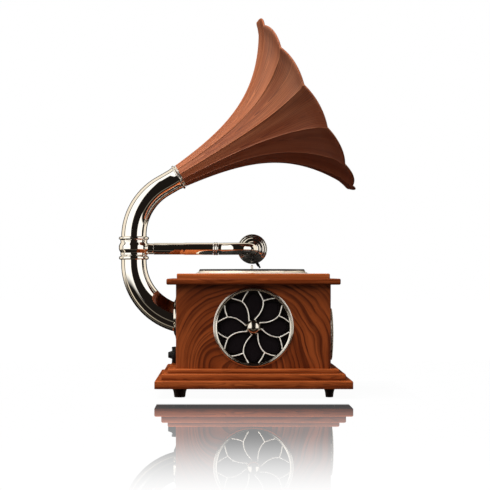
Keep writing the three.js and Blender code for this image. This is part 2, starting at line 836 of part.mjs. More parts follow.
// Cone driver behind a wall: frame, cone and magnet
function addDriver(group, name) {
  const front = -wallThickness - fit;
  const back = front - driverDepth;
  const flange = driverFlange / 2;
  const mouth = driverCutout / 2 - basketInset;
  const neck = driverMagnetDiameter / 2 + basketNeckWidth;
  group.add(
    mesh(
      `${name}_frame`,
      turned([
        [mouth, front],
        [flange, front],
        [flange, front - driverFlangeThickness],
        [mouth + basketSheet, front - driverFlangeThickness],
        [neck + basketSheet, back],
        [neck / 2, back],
        [neck / 2, back + basketSheet],
        [neck, back + basketSheet],
      ], innerSides),
      "steel",
    ),
  );
  const coil = neck / 2 - coilInset;
  const capTop = back + coneRoot + dustCapRise + coneSheet;
  const surround = (profile) => profile.map(([inwards, out]) => [mouth - inwards, front + out]);
  group.add(
    mesh(
      `${name}_cone`,
      turned([
        ...surround(surroundFront),
        [coil + coneSheet, back + coneRoot + coneSheet],
        [0, capTop],
        [0, capTop - coneSheet],
        [coil, back + coneRoot],
        ...surround(surroundBack),
      ], innerSides),
      "paper",
    ),
  );
  const magnet = driverMagnetDiameter / 2;
  const magnetTop = back - fit;
  group.add(
    mesh(
      `${name}_magnet`,
      turned([
        [0, magnetTop - driverMagnetThickness - magnetCapThickness],
        [magnet - magnetCapInset, magnetTop - driverMagnetThickness - magnetCapThickness],
        [magnet - magnetCapInset, magnetTop - driverMagnetThickness],
        [magnet, magnetTop - driverMagnetThickness],
        [magnet, magnetTop],
        [0, magnetTop],
      ], innerSides),
      "ferrite",
    ),
  );
}

sideGrille("near", 0);
sideGrille("far", Math.PI);

// Front grille: a domed guard with rings of slots, over a small dome driver
const front = wallGroup(quarter, frontGrilleHeight);
const guardRadius = frontGrilleDiameter / 2;
const guardInner = guardRadius - frontGrilleRim;
const guard = turned(
  [
    [guardInner, fit],
    [guardRadius, fit],
    [guardRadius, frontGrilleProud * guardEdge],
    [guardRadius - guardShoulderIn, frontGrilleProud * guardShoulder],
    [guardInner, frontGrilleProud * guardInnerEdge],
    [guardRadius * guardCrown, frontGrilleProud],
    [0, frontGrilleProud],
    [0, frontGrilleProud - guardSheet],
    [guardRadius * guardCrown, frontGrilleProud - guardSheet],
    [guardInner, frontGrilleProud * guardInnerEdge - guardSheet],
  ],
  guardSides,
);
const slots = [];
for (const [radius, count] of guardSlots) {
  for (let i = 0; i < count; i++) {
    const slot = new THREE.Shape();
    const span = Math.PI / count - slotSpacing / 2 / radius;
    slot.absarc(0, 0, radius + slotWidth / 2, -span, span, false);
    slot.absarc(0, 0, radius - slotWidth / 2, span, -span, true);
    const cutter = { depth: slotDepth, bevelEnabled: false, curveSegments: slotSteps };
    const bar = new THREE.ExtrudeGeometry(slot, cutter);
    bar.rotateZ((2 * Math.PI * i) / count);
    bar.translate(0, 0, frontGrilleProud - slotStart);
    slots.push(bar);
  }
}
front.add(mesh("front_grille", cut(guard, ...slots), "darkChrome"));
const tweeterFront = -wallThickness - fit;
const tweeterMouth = frontCutout / 2 - basketInset;
const tweeterBack = tweeterFront - frontDriverDepth;
front.add(
  mesh(
    "front_driver_frame",
    turned([
      [tweeterMouth, tweeterFront],
      [frontDriverFlange / 2, tweeterFront],
      [frontDriverFlange / 2, tweeterFront - frontDriverFlangeThickness],
      [tweeterMouth + basketSheet, tweeterFront - frontDriverFlangeThickness],
      [tweeterMouth + basketSheet / 3, tweeterBack],
      [frontDriverNeck / 2, tweeterBack],
      [frontDriverNeck / 2, tweeterBack + basketSheet],
      [tweeterMouth - (basketSheet * 2) / 3, tweeterBack + basketSheet],
    ], innerSides),
    "steel",
  ),
);
const domeRadius = tweeterMouth - 2 * fit;
const domeFace = frontDomeProfile.map(([inwards, out]) => [tweeterMouth - inwards, tweeterFront + out]);
const domeBack = domeFace.slice(1).map(([radius, z]) => [radius, z - frontDomeSheet]);
front.add(
  mesh(
    "front_driver_dome",
    turned([
      [domeRadius, tweeterFront - frontDomeEdge],
      ...domeFace,
      [0, tweeterFront + frontDomeRise],
      [0, tweeterFront + frontDomeRise - frontDomeSheet],
      ...domeBack.reverse(),
      [domeRadius, tweeterFront - frontDomeEdge - frontDomeSheet],
    ], innerSides),
    "paper",
  ),
);
front.add(
  mesh(
    "front_driver_magnet",
    rod(frontMagnetDiameter, tweeterBack - fit - frontMagnetThickness, tweeterBack - fit, innerSides),
    "ferrite",
  ),
);

// Horn driver on the flange of the lower tube
const hornDriverFace = lowerCentreX + fit;
const hornDriver = turned([
  [0, hornDriverFace + hornDriverHollow],
  [lowerTubeEnd / 2 - tubeWall, hornDriverFace],
  [elbowFlangeDiameter / 2, hornDriverFace],
  [elbowFlangeDiameter / 2, hornDriverFace + hornDriverPlate],
  [hornDriverDiameter / 2, hornDriverFace + hornDriverPlate],
  [hornDriverDiameter / 2, hornDriverFace + hornDriverDepth],
  [hornDriverCapDiameter / 2, hornDriverFace + hornDriverDepth],
  [hornDriverCapDiameter / 2, hornDriverFace + hornDriverDepth + hornDriverCapDepth],
  [0, hornDriverFace + hornDriverDepth + hornDriverCapDepth],
], innerSides);
hornDriver.rotateY(quarter);
cabinet.add(mesh("horn_driver", place(hornDriver, 0, 0, tubeEndHeight), "ferrite"));

// Volume control, its shaft and its knob
const rear = wallGroup(-quarter, knobHeight);
const controlTop = -wallThickness - fit;
rear.add(
  mesh(
    "volume_control",
    turned([
      [controlShaftDiameter / 2 + runningGap, controlTop - controlDepth + controlFloor],
      [controlShaftDiameter / 2 + runningGap, 0],
      [controlBushDiameter / 2, 0],
      [controlBushDiameter / 2, controlTop],
      [controlDiameter / 2, controlTop],
      [controlDiameter / 2, controlTop - controlDepth],
      [0, controlTop - controlDepth],
      [0, controlTop - controlDepth + controlFloor],
    ]),
    "steel",
  ),
);
const volume = wallGroup(-quarter, knobHeight);
const shaftTip = knobLength - knobCap;
const shaftStart = controlTop - controlDepth + controlFloor + runningGap;
volume.add(mesh("volume_shaft", rod(controlShaftDiameter, shaftStart, shaftTip), "steel"));
const skirt = knobSkirtDiameter / 2;
const tip = knobTipDiameter / 2;
const shaftBore = controlShaftDiameter / 2 + fit;
volume.add(
  mesh(
    "volume_knob",
    turned([
      [shaftBore, runningGap],
      [skirt, runningGap],
      ...knobProfile.map(([inwards, out]) => [skirt - inwards, out]),
      [tip + knobTipRound[0], knobLength - knobTipRound[1]],
      [tip, knobLength],
      [0, knobLength],
      [0, shaftTip + fit],
      [shaftBore, shaftTip + fit],
    ]),
    "black",
  ),
);

// Power inlet
const inlet = wallGroup(-quarter, knobHeight, inletOffset);
inlet.add(
  mesh(
    "power_inlet",
    turned([
      [inletSocket / 2, inletBezelThickness],
      [inletBezel / 2 - inletBezelRound, inletBezelThickness],
      [inletBezel / 2, fit],
      [inletDiameter / 2, fit],
      [inletDiameter / 2, -inletDepth - inletFloor],
      [0, -inletDepth - inletFloor],
      [0, -inletDepth],
      [inletSocket / 2, -inletDepth],
    ]),
    "black",
  ),
);

// Amplifier on its bracket, above the plinth
const trayEdge = amplifierWidth / 2;
const traySection = new THREE.Shape(
  [
    [-trayEdge, 0],
    [trayEdge, 0],
    [trayEdge, amplifierLift],
    [trayEdge - bracketThickness, amplifierLift],
    [trayEdge - bracketThickness, bracketThickness],
    [-trayEdge + bracketThickness, bracketThickness],
    [-trayEdge + bracketThickness, amplifierLift],
    [-trayEdge, amplifierLift],
  ].map(([x, y]) => new THREE.Vector2(x, y)),
);
const tray = new THREE.ExtrudeGeometry(traySection, { depth: amplifierLength, bevelEnabled: false });
tray.rotateX(quarter);
tray.rotateZ(quarter);
tray.translate(-amplifierLength / 2, 0, wallBottom + fit);
cabinet.add(mesh("amplifier_bracket", tray, "steel"));
const boardBottom = wallBottom + amplifierLift + 2 * fit;
const boardTop = boardBottom + boardThickness;
const partBottom = boardTop - partSeat;
const partTop = boardTop + boardPartHeight;
const halfLength = amplifierLength / 2;
const sinkStart = -halfLength + heatSinkEnd;
const sinkEdge = trayEdge - heatSinkEdge;
const boardPieces = [
  box(-halfLength, halfLength, -trayEdge, trayEdge, boardBottom, boardTop),
  box(sinkStart, sinkStart + heatSinkLength, sinkEdge, sinkEdge + heatSinkWidth, partBottom, partTop),
];
for (const x of capacitorPlaces) {
  const capacitor = rod(capacitorDiameter, partBottom, partTop, innerSides);
  boardPieces.push(place(capacitor, x, capacitorDiameter - trayEdge, 0));
}
cabinet.add(mesh("amplifier_board", join(...boardPieces), "board"));

// Swivel: a turned spigot on the lower tube carries the tonearm's sleeve and the upper tube
const spigotRadius = spigotDiameter / 2;
const lowerBead = lowerBeadDiameter / 2;
const tubeRadius = tubeDiameter / 2;
const spigotTop = upperBeadTop + upperBushLength - seatDepth;
const spigot = turned([
  [spigotBore / 2, lowerSeat + fit],
  [tubeRadius + fit, lowerSeat + fit],
  [tubeRadius + fit, lowerBeadBottom],
  ...lowerBeadProfile.map(([inwards, up]) => [lowerBead - inwards, lowerBeadBottom + lowerBeadHeight * up]),
  [spigotRadius, lowerBeadTop],
  [spigotRadius, spigotTop],
  [spigotBore / 2, spigotTop],
]);
cabinet.add(mesh("swivel_spigot", place(spigot, couplerX, 0, 0), "chrome"));

// Tonearm
const tonearm = new THREE.Group();
part.add(tonearm);
const sleeveBore = spigotRadius + runningGap;
const neck = sleeveNeckDiameter / 2;
const barrel = sleeveDiameter / 2;
const sleeveMiddle = (sleeveBottom + sleeveTop) / 2;
const sleeveBody = turned([
  [sleeveBore, sleeveBottom],
  [neck, sleeveBottom],
  [neck - sleeveNeckCut, sleeveBottom + sleeveNeckHeight],
  ...arcPoints(neck, sleeveMiddle, barrel - neck, sleeveHeight * sleeveBarrel, -70, 70, barrelSteps),
  [neck - sleeveNeckCut, sleeveTop - sleeveNeckHeight],
  [neck, sleeveTop],
  [sleeveBore, sleeveTop],
]);
const stub = rod(stubDiameter, sleeveBore + (barrel - sleeveBore) / 4, stubLength);
const stubPin = rod(armBore - 2 * fit, stubLength - through, stubLength + stubPinLength);
for (const bar of [stub, stubPin]) {
  bar.rotateY(quarter);
  bar.translate(couplerX, 0, armHeight);
}
const sleeve = join(place(sleeveBody, couplerX, 0, 0), stub, stubPin);
tonearm.add(mesh("tonearm_sleeve", sleeve, "chrome"));
const armRadius = armDiameter / 2;
const armStart = couplerX + stubLength + fit;
const armEnd = soundboxX - headReach;
const armTube = turned([
  [armBore / 2, armStart],
  [armRadius - armStep, armStart],
  [armRadius - armStep, armStart + armStepLength],
  [armRadius, armStart + armStepLength + armStep],
  [armRadius, armEnd],
  [armBore / 2, armEnd],
]);
armTube.rotateY(quarter);
tonearm.add(mesh("tonearm_tube", place(armTube, 0, 0, armHeight), "chrome"));
const collarRadius = collarDiameter / 2;
const collarStart = armEnd + fit;
const collarEnd = collarStart + collarLength;
const armPin = armBore / 2 - fit;
const collar = turned([
  [armPin - pinWall, collarStart - collarPinLength],
  [armPin, collarStart - collarPinLength],
  [armPin, collarStart],
  [collarRadius - collarRound[0], collarStart],
  [collarRadius, collarStart + collarRound[1]],
  [collarRadius, collarEnd - collarRound[1]],
  [collarRadius - collarRound[0], collarEnd],
  [armPin, collarEnd],
  [armPin, collarEnd + collarPinLength],
  [armPin - pinWall, collarEnd + collarPinLength],
]);
collar.rotateY(quarter);
tonearm.add(mesh("tonearm_collar", place(collar, 0, 0, armHeight), "chrome"));

// Gooseneck: a tube that turns on the collar's pin and bends away to the sound box
const gooseneckStart = collarEnd + runningGap;
const neckRadius = gooseneckDiameter / 2;
const neckBore = armBore / 2;
const bendStart = soundboxX - gooseneckBend;
const neckStations = [
  { x: gooseneckStart, z: 0, angle: 0, radius: neckRadius },
  ...bendStations(bendStart, gooseneckBend, gooseneckBend, -90, 0, gooseneckSteps, () => neckRadius),
];
const gooseneckPivot = new THREE.Group();
part.add(gooseneckPivot);
const neckWall = neckRadius - neckBore;
const gooseneck = hollowTube(neckStations, neckWall);
gooseneck.rotateX(-quarter);
gooseneckPivot.add(mesh("gooseneck", place(gooseneck, 0, 0, armHeight), "chrome"));

// Sound box, its axis along Y, its back towards the gooseneck
const soundbox = new THREE.Group();
soundbox.rotation.set(-quarter, 0, 0);
soundbox.position.set(soundboxX, gooseneckBend + fit, armHeight);
gooseneckPivot.add(soundbox);
const boxRadius = soundboxDiameter / 2;
const recessRadius = boxRadius * soundboxRecess;
soundbox.add(
  mesh(
    "soundbox_case",
    turned([
      [0, 0],
      ...soundboxProfile.map(([across, up]) => [boxRadius * across, soundboxDepth * up]),
      [recessRadius, soundboxDepth],
      [recessRadius, recessFloor],
      ...floorSlope.map(([across, height]) => [boxRadius * across, height]),
    ]),
    "chrome",
  ),
);
const diaphragmBottom = recessFloor + fit;
const diaphragmTop = diaphragmBottom + diaphragmThickness;
const diaphragmRadius = recessRadius - fit;
soundbox.add(
  mesh(
    "soundbox_diaphragm",
    turned([
      [0, diaphragmBottom - diaphragmDish],
      [diaphragmRadius, diaphragmBottom],
      [diaphragmRadius, diaphragmTop],
      [0, diaphragmTop],
    ]),
    "steel",
  ),
);
const retainerBottom = diaphragmTop + fit;
const retainerTop = soundboxDepth + retainerProud;
soundbox.add(
  mesh(
    "soundbox_ring",
    turned([
      [diaphragmRadius - retainerWidth, retainerBottom],
      [diaphragmRadius, retainerBottom],
      [diaphragmRadius, retainerTop],
      [diaphragmRadius - retainerRound, retainerTop],
      [diaphragmRadius - retainerWidth, retainerTop - retainerRound / 2],
    ]),
    "chrome",
  ),
);

// Needle bar: from the diaphragm's middle to the rim, and the needle past it, leaning to the front
const barHeight = retainerTop + fit + needleBarDiameter / 2;
const barPath = (from, to) => {
  const reach = new THREE.Vector3().subVectors(to, from);
  const bar = rod(needleBarDiameter, 0, reach.length(), innerSides);
  const upright = new THREE.Vector3(0, 0, 1);
  bar.applyQuaternion(new THREE.Quaternion().setFromUnitVectors(upright, reach.normalize()));
  return place(bar, from.x, from.y, from.z);
};
const barCentre = new THREE.Vector3(0, 0, barHeight);
const needleTop = new THREE.Vector3(needleSide, boxRadius - needleInset, barHeight);
const needleReach = new THREE.Vector3(Math.sin(lean), Math.cos(lean), 0).multiplyScalar(needleLength);
const needleEnd = needleReach.add(needleTop);
const needlePost = rod(needlePostDiameter, retainerBottom, barHeight + needleBarDiameter / 2, innerSides);
const needleBar = join(barPath(barCentre, needleTop), barPath(needleTop, needleEnd), needlePost);
soundbox.add(mesh("needle_bar", needleBar, "black"));

// Upper tube with the collar that turns on the spigot
const hornGroup = new THREE.Group();
part.add(hornGroup);
const upperBead = upperBeadDiameter / 2;
const bushBendAllowance = upperBushLength ** 2 / (2 * upperBendRadius);
const tubeFlats = Math.cos(Math.PI / tubeSides);
const upperBushRadius = (tubeRadius - tubeWall) * tubeFlats - fit - bushBendAllowance;
const upperCollar = turned([
  [sleeveBore, upperBeadBottom],
  ...upperBeadProfile.map(([inwards, up]) => [upperBead - inwards, upperBeadBottom + upperBeadHeight * up]),
  [upperBushRadius, upperBeadTop],
  [upperBushRadius, upperBeadTop + upperBushLength],
  [sleeveBore, upperBeadTop + upperBushLength],
]);
hornGroup.add(mesh("upper_collar", place(upperCollar, couplerX, 0, 0), "chrome"));
const upperCentreX = couplerX + upperBendRadius;
const upperTurn = 90 - hornTilt;
const upperRadius = (share) => THREE.MathUtils.lerp(tubeDiameter, upperTubeAtHorn, share) / 2;
const upperBend = bendStations(
  upperCentreX,
  upperBendHeight,
  upperBendRadius,
  180,
  180 - upperTurn,
  bendSteps,
  upperRadius,
);
const tiltRadians = hornTilt * degrees;
const bendEnd = upperBend.at(-1);
const along = (distance, radius) => ({
  x: bendEnd.x + distance * Math.cos(tiltRadians),
  z: bendEnd.z + distance * Math.sin(tiltRadians),
  angle: tiltRadians,
  radius,
});
const upperStations = [
  { x: couplerX, z: upperBeadTop, angle: quarter, radius: tubeRadius },
  ...upperBend,
  along(upperStraight * upperFlareStart, upperTubeAtHorn / 2),
  along(upperStraight - fit, upperTubeAtHorn / 2 + upperFlare),
];
hornGroup.add(mesh("upper_elbow", hollowTube(upperStations, tubeWall), "chrome"));

// Horn: in its own group, Z along the horn's axis, X towards its underside
const horn = new THREE.Group();
const throatPlace = along(upperStraight, 0);
horn.position.set(throatPlace.x, 0, throatPlace.z);
horn.rotation.y = quarter - tiltRadians;
hornGroup.add(horn);
const nippleRadius = upperTubeAtHorn / 2 + upperFlare - tubeWall - nippleGap;
const ringEdge = ringProfile.map(([inwards, out]) => [ringDiameter / 2 - inwards, ringThickness * out]);
horn.add(
  mesh(
    "horn_ring",
    turned([
      [nippleRadius - nippleWall, -nippleLength],
      [nippleRadius, -nippleLength],
      [nippleRadius, 0],
      ...ringEdge,
      [nippleRadius, ringThickness],
      [nippleRadius, ringThickness + nippleLength],
      [nippleRadius - nippleWall, ringThickness + nippleLength],
    ]),
    "chrome",
  ),
);
const throat = hornThroatDiameter / 2;
const bellStart = ringThickness + fit;
const flareWidth = hornMouthDiameter / 2 - throat - hornConeSlope * hornLength;
const flareGain = flareWidth / Math.expm1(hornLength / hornFlareLength);

function flare(s) {
  const grown = Math.exp(s / hornFlareLength);
  return {
    radius: throat + hornConeSlope * s + flareGain * (grown - 1),
    slope: hornConeSlope + (flareGain * grown) / hornFlareLength,
  };
}

// A point of the horn: share runs from throat to mouth, across from -1 at one seam to 1 at the next
function hornPoint(share, across, petalAngle, inwards) {
  const s = hornLength * share;
  const { radius, slope } = flare(s);
  const crown = 1 - across * across;
  const rise = THREE.MathUtils.smoothstep(share, petalRiseStart, 1);
  const flat = 1 - Math.cos(Math.PI / hornPetals);
  const lifted = radius - radius * flat * crown * (1 - rise) + petalRise * rise * crown;
  const reach = petalReach * crown * share ** petalReachPower;
  const normal = 1 / Math.hypot(1, slope);
  const r = lifted - inwards * normal;
  const turn = petalAngle + (across * Math.PI) / hornPetals;
  return new THREE.Vector3(r * Math.cos(turn), r * Math.sin(turn), s + reach + inwards * slope * normal);
}

function hornRing(share, inwards) {
  const ring = [];
  for (let petal = 0; petal < hornPetals; petal++) {
    for (let i = 0; i < petalSteps; i++) {
      const across = -1 + (2 * i) / petalSteps;
      ring.push(hornPoint(share, across, (2 * Math.PI * petal) / hornPetals, inwards));
    }
  }
  return ring;
}

const firstShare = bellStart / hornLength;
const shares = Array.from({ length: hornSteps + 1 }, (_, i) => {
  const even = i / hornSteps;
  return firstShare + (1 - firstShare) * (1 - (1 - even) ** mouthCrowding);
});
const beadStart = 1 - rimBeadLength / hornLength;
const outside = shares.slice(0, -1).map((share) => hornRing(share, 0));
const inside = shares.slice(0, -1).map((share) => hornRing(share, hornWall));
const bead = [
  hornRing(beadStart, 0),
  hornRing(beadStart, -rimBead),
  hornRing(1, -rimBead),
  hornRing(1, hornWall),
];
horn.add(mesh("horn_bell", loft([...outside, ...bead, ...inside.reverse()], true), "horn"));

// The origin goes to the middle of the bounding box, on the floor
const bounds = new THREE.Box3().setFromObject(part, true);
const middle = bounds.getCenter(new THREE.Vector3());
part.position.set(-middle.x, -middle.y, -bounds.min.z);

export default part;
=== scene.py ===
"""The looks of a table-top horn loudspeaker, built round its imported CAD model.

Sizes are in millimetres, measured from the middle of the cabinet, as in the part's own source.
X points to the front, Y away from the side with the tonearm, Z up from the floor.
"""

import math

import bmesh
import bpy
import numpy as np
from mathutils import Matrix, Vector


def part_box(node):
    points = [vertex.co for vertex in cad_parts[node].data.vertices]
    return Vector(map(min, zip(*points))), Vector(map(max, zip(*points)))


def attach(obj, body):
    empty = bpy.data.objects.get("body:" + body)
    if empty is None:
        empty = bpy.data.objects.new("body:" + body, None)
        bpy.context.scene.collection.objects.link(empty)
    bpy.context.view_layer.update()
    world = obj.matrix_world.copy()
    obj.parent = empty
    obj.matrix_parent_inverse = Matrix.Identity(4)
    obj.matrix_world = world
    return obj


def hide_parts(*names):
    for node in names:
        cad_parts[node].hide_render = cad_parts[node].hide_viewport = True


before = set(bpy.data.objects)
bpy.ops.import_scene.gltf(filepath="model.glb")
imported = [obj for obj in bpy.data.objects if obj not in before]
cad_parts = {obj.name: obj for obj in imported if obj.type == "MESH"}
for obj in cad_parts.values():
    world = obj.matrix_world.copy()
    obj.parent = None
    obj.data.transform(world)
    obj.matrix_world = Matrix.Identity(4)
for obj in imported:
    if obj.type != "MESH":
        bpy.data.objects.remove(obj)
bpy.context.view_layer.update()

MILLIMETRE = 0.001
board_low, board_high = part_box("plinth_board")
MIDDLE_X = (board_low.x + board_high.x) / 2

# Sizes shared with the CAD source
FIT = 0.3
FOOT_HEIGHT = 9.7
REAR_FOOT = (15.6, 11.1)
FRONT_FOOT = (11.8, 7.6)
FOOT_PLACE = 76
PLINTH_BOARD_TOP = 18
PLINTH_STEP_TOP = 24.7
WALL_BOTTOM = 29.3
WALL_TOP = 114.6
TOP_BOARD_TOP = 120.8
TOP_PAD_TOP = 126
HALF = 78.9
INNER = 69.9
GRILLE_HEIGHT = 71.4
GRILLE_DIAMETER = 82
GRILLE_RIM = 3.9
GRILLE_PROUD = 3
GRILLE_PLATE = 2.4
FRONT_GRILLE_HEIGHT = 61.5
FRONT_GRILLE_DIAMETER = 55.5
FRONT_GRILLE_PROUD = 7.3
COUPLER_X = -125.854
LOWER_BEND_RADIUS = 61.104
LOWER_BEND_HEIGHT = 138.304
UPPER_BEND_RADIUS = 61.9
UPPER_BEND_HEIGHT = 165.504
LOWER_CENTRE_X = COUPLER_X + LOWER_BEND_RADIUS
UPPER_CENTRE_X = COUPLER_X + UPPER_BEND_RADIUS
TUBE_END_HEIGHT = 77.2
TUBE_DIAMETER = 27
LOWER_TUBE_END = 31
UPPER_TUBE_END = 23.8
UPPER_STRAIGHT = 17.9
UPPER_FLARE_START = 0.8
UPPER_FLARE = 0.5
TUBE_WALL = 1.4
HORN_TILT = math.radians(30)
RING_THICKNESS = 4.2
LOWER_BEAD = (140.804, 145.404)
SLEEVE = (145.704, 161.704)
UPPER_BEAD = (162.004, 165.404)
ARM_HEIGHT = 152.404
STUB_END = -105.004
ARM_END = -41.5
SOUNDBOX_X = 0.8
GOOSENECK_BEND = 9
NECK_RADIUS = 6.45
SOUNDBOX_RADIUS = 16.1
SOUNDBOX_DEPTH = 9
PLATTER_BOTTOM = 126.3
MAT_TOP = 130.7
KNOB_HEIGHT = 39.3
INLET_OFFSET = 42
HORN_PETALS = 13
HORN_LENGTH = 155.9
HORN_THROAT = 11.7
HORN_MOUTH = 99.6
HORN_FLARE = 45.0
HORN_SLOPE = 0.05
SEAM_CROWDING = 1.6  # how much the grid of the horn draws together at the seams
RIM_CROWDING = 1.35  # and at the rim

# Sizes that only the looks have
REAR_FOOT_SHIFT = 1
FRONT_FOOT_SHIFT = 1.5
BOARD_CORNER = 1.1
BOSS_RADIUS = 7.7
BOSS_RISE = 6.9
SLOT_RINGS = ((9, 4), (17.5, 6))  # radius of each ring in the front guard, and its slots
SLOT_HALF_WIDTH = 2.2
SLOT_BRIDGE = 1.6
BELL_TILT = math.radians(29.45)
NEEDLE_LENGTH = 7.4


# Meshes and objects


def new_mesh(name, points, edges=(), faces=()):
    """A mesh from lists of its points, edges and faces."""
    mesh = bpy.data.meshes.new(name)
    mesh.from_pydata(points, edges, faces)
    return mesh


def put(name, data):
    """A new object in the scene that holds a mesh, a camera or a light."""
    made = bpy.data.objects.new(name, data)
    bpy.context.scene.collection.objects.link(made)
    return made


def applied(piece):
    """The mesh that a piece's modifiers make."""
    bpy.context.view_layer.update()
    shown = piece.evaluated_get(bpy.context.evaluated_depsgraph_get())
    return bpy.data.meshes.new_from_object(shown)


def moved(mesh, move):
    """Changes where a mesh's points are, with a function from points to points."""
    points = np.empty(len(mesh.vertices) * 3)
    mesh.vertices.foreach_get("co", points)
    mesh.vertices.foreach_set("co", move(points.reshape(-1, 3)).ravel())
    return mesh


# Node graphs


class Value:
    """A node's output. Operators on it add Math nodes."""

    def __init__(self, graph, socket):
        self.graph = graph
        self.socket = socket

    def __add__(self, other):
        return maths("ADD", self, other)

    def __sub__(self, other):
        return maths("SUBTRACT", self, other)

    def __rsub__(self, other):
        return maths("SUBTRACT", other, self)

    def __mul__(self, other):
        return maths("MULTIPLY", self, other)

    def __truediv__(self, other):
        return maths("DIVIDE", self, other)

    def __rtruediv__(self, other):
        return maths("DIVIDE", other, self)

    def __pow__(self, other):
        return maths("POWER", self, other)

    def __gt__(self, other):
        return maths("GREATER_THAN", self, other)

    def __abs__(self):
        return maths("ABSOLUTE", self)

    __radd__ = __add__
    __rmul__ = __mul__


def graph_of(values):
    """The graph of the first node output among values, which may be plain numbers too."""
    return next(value.graph for value in values if isinstance(value, Value))


def maths(operation, *values):
    """The result of a Math node."""
    sockets = dict(enumerate(values))
    return graph_of(values).value("ShaderNodeMath", {"operation": operation}, sockets)


def step(value, start, end, low=0.0, high=1.0):
    """Eases from low to high while value goes from start to end."""
    settings = {"interpolation_type": "SMOOTHSTEP"}
    sockets = {0: value, 1: start, 2: end, 3: low, 4: high}
    return value.graph.value("ShaderNodeMapRange", settings, sockets)


def vector(x=0.0, y=0.0, z=0.0):
    """A vector of three values, at least one of them a node's output."""
    return graph_of((x, y, z)).value("ShaderNodeCombineXYZ", None, {0: x, 1: y, 2: z})


def parts(whole):
    """The X, Y and Z of a vector."""
    split = whole.graph.node("ShaderNodeSeparateXYZ", None, {0: whole})
    return [Value(whole.graph, output) for output in split.outputs]


def noise(x, y, z, detail, roughness=0.5, distortion=0.0, scale=1.0):
    """A noise texture's strength at a place, mostly between 0.3 and 0.7."""
    place = vector(x, y, z)
    sockets = {"Vector": place, "Scale": scale, "Detail": detail}
    sockets.update({"Roughness": roughness, "Distortion": distortion})
    return place.graph.value("ShaderNodeTexNoise", None, sockets)


def mix(share, first, second):
    """A colour between two colours."""
    sockets = {0: share, 6: first, 7: second}
    for key in (6, 7):
        if not isinstance(sockets[key], Value):
            sockets[key] = (*sockets[key], 1.0)
    return share.graph.value("ShaderNodeMix", {"data_type": "RGBA"}, sockets, 2)


class Graph:
    """A node tree of a material, of the world or of Geometry Nodes."""

    def __init__(self, tree):
        self.tree = tree

    def node(self, kind, settings=None, sockets=None):
        """Adds a node with its properties in settings, and values or links in its sockets."""
        made = self.tree.nodes.new(kind)
        for key, setting in (settings or {}).items():
            setattr(made, key, setting)
        for key, value in (sockets or {}).items():
            if isinstance(value, Value):
                self.tree.links.new(value.socket, made.inputs[key])
            else:
                made.inputs[key].default_value = value
        return made

    def value(self, kind, settings=None, sockets=None, output=0):
        """Adds a node and gives one of its outputs."""
        return Value(self, self.node(kind, settings, sockets).outputs[output])

    def geometry(self, kind, **sockets):
        """A Geometry Nodes node. Spaces in its sockets' names are written as underscores."""
        named = {key.replace("_", " "): value for key, value in sockets.items()}
        return self.value("GeometryNode" + kind, None, named)

    def ray(self, kind):
        """1 for rays of one kind, such as Camera, and 0 for all others."""
        return self.value("ShaderNodeLightPath", None, None, f"Is {kind} Ray")

    def join(self, *pieces):
        """Several geometries as one."""
        joined = self.node("GeometryNodeJoinGeometry")
        for piece in pieces:
            self.tree.links.new(piece.socket, joined.inputs[0])
        return Value(self, joined.outputs[0])


class Finish(Graph):
    """A material whose Principled shader is filled in by the functions below."""

    def __init__(self, name):
        self.material = bpy.data.materials.new(name)
        self.material.use_nodes = True
        super().__init__(self.material.node_tree)
        self.tree.nodes.clear()
        self.shader = self.node("ShaderNodeBsdfPrincipled")
        self.plain = Value(self, self.shader.outputs[0])
        self.output = self.node("ShaderNodeOutputMaterial", None, {0: self.plain})

    def place(self):
        """X, Y and Z on the object, in millimetres from the middle of the cabinet."""
        x, y, z = parts(self.value("ShaderNodeTexCoord", None, None, "Object"))
        return (x - MIDDLE_X) * 1000, y * 1000, z * 1000

    def side_place(self):
        """How far along a side, how far out and how high a point is, and 1 if the side is long."""
        x, y, z = self.place()
        side = abs(y) > abs(x)
        return side * x + (1 - side) * y, side * y + (1 - side) * x, z, side

    def set(self, **sockets):
        """Fills in the shader's sockets, whose spaces are written as underscores."""
        for key, value in sockets.items():
            socket = self.shader.inputs[key.replace("_", " ")]
            if isinstance(value, Value):
                self.tree.links.new(value.socket, socket)
            else:
                socket.default_value = (*value, 1.0) if isinstance(value, tuple) else value
        return self.material

    def bump(self, height, strength, distance):
        """The surface's normal, tilted as if it had that height times the distance in metres."""
        sockets = {"Strength": strength, "Distance": distance, "Height": height}
        return self.value("ShaderNodeBump", None, sockets)


def grow(name, sizes, build, material, base=None):
    """Runs a Geometry Nodes tree with named sizes once, and returns the mesh that it makes."""
    tree = bpy.data.node_groups.new(name, "GeometryNodeTree")
    for way in ("INPUT", "OUTPUT"):
        tree.interface.new_socket("Geometry", in_out=way, socket_type="NodeSocketGeometry")
    for key, size in sizes.items():
        kind = "NodeSocketInt" if isinstance(size, int) else "NodeSocketFloat"
        tree.interface.new_socket(key, in_out="INPUT", socket_type=kind)
    graph = Graph(tree)
    start = graph.node("NodeGroupInput")
    values = {key: Value(graph, start.outputs[key]) for key in sizes}
    made = build(graph, values, Value(graph, start.outputs["Geometry"]))
    real = graph.geometry("RealizeInstances", Geometry=made)
    dressed = graph.geometry("SetMaterial", Geometry=real, Material=material)
    graph.node("NodeGroupOutput", None, {0: dressed})
    holder = put(name, base or bpy.data.meshes.new(name))
    modifier = holder.modifiers.new(name, "NODES")
    modifier.node_group = tree
    for item in tree.interface.items_tree:
        if item.in_out == "INPUT" and item.name in sizes:
            modifier[item.identifier] = sizes[item.name]
    mesh = applied(holder)
    bpy.data.objects.remove(holder)
    return mesh


# Finishes


def wood_colours(line, flow, fleck, light, middle, dark):
    """Growth lines, broad light and dark flow, and short pores, as one colour."""
    base = mix(flow, middle, light)
    pored = mix(fleck * 0.55, base, dark)
    return mix(line, pored, dark)


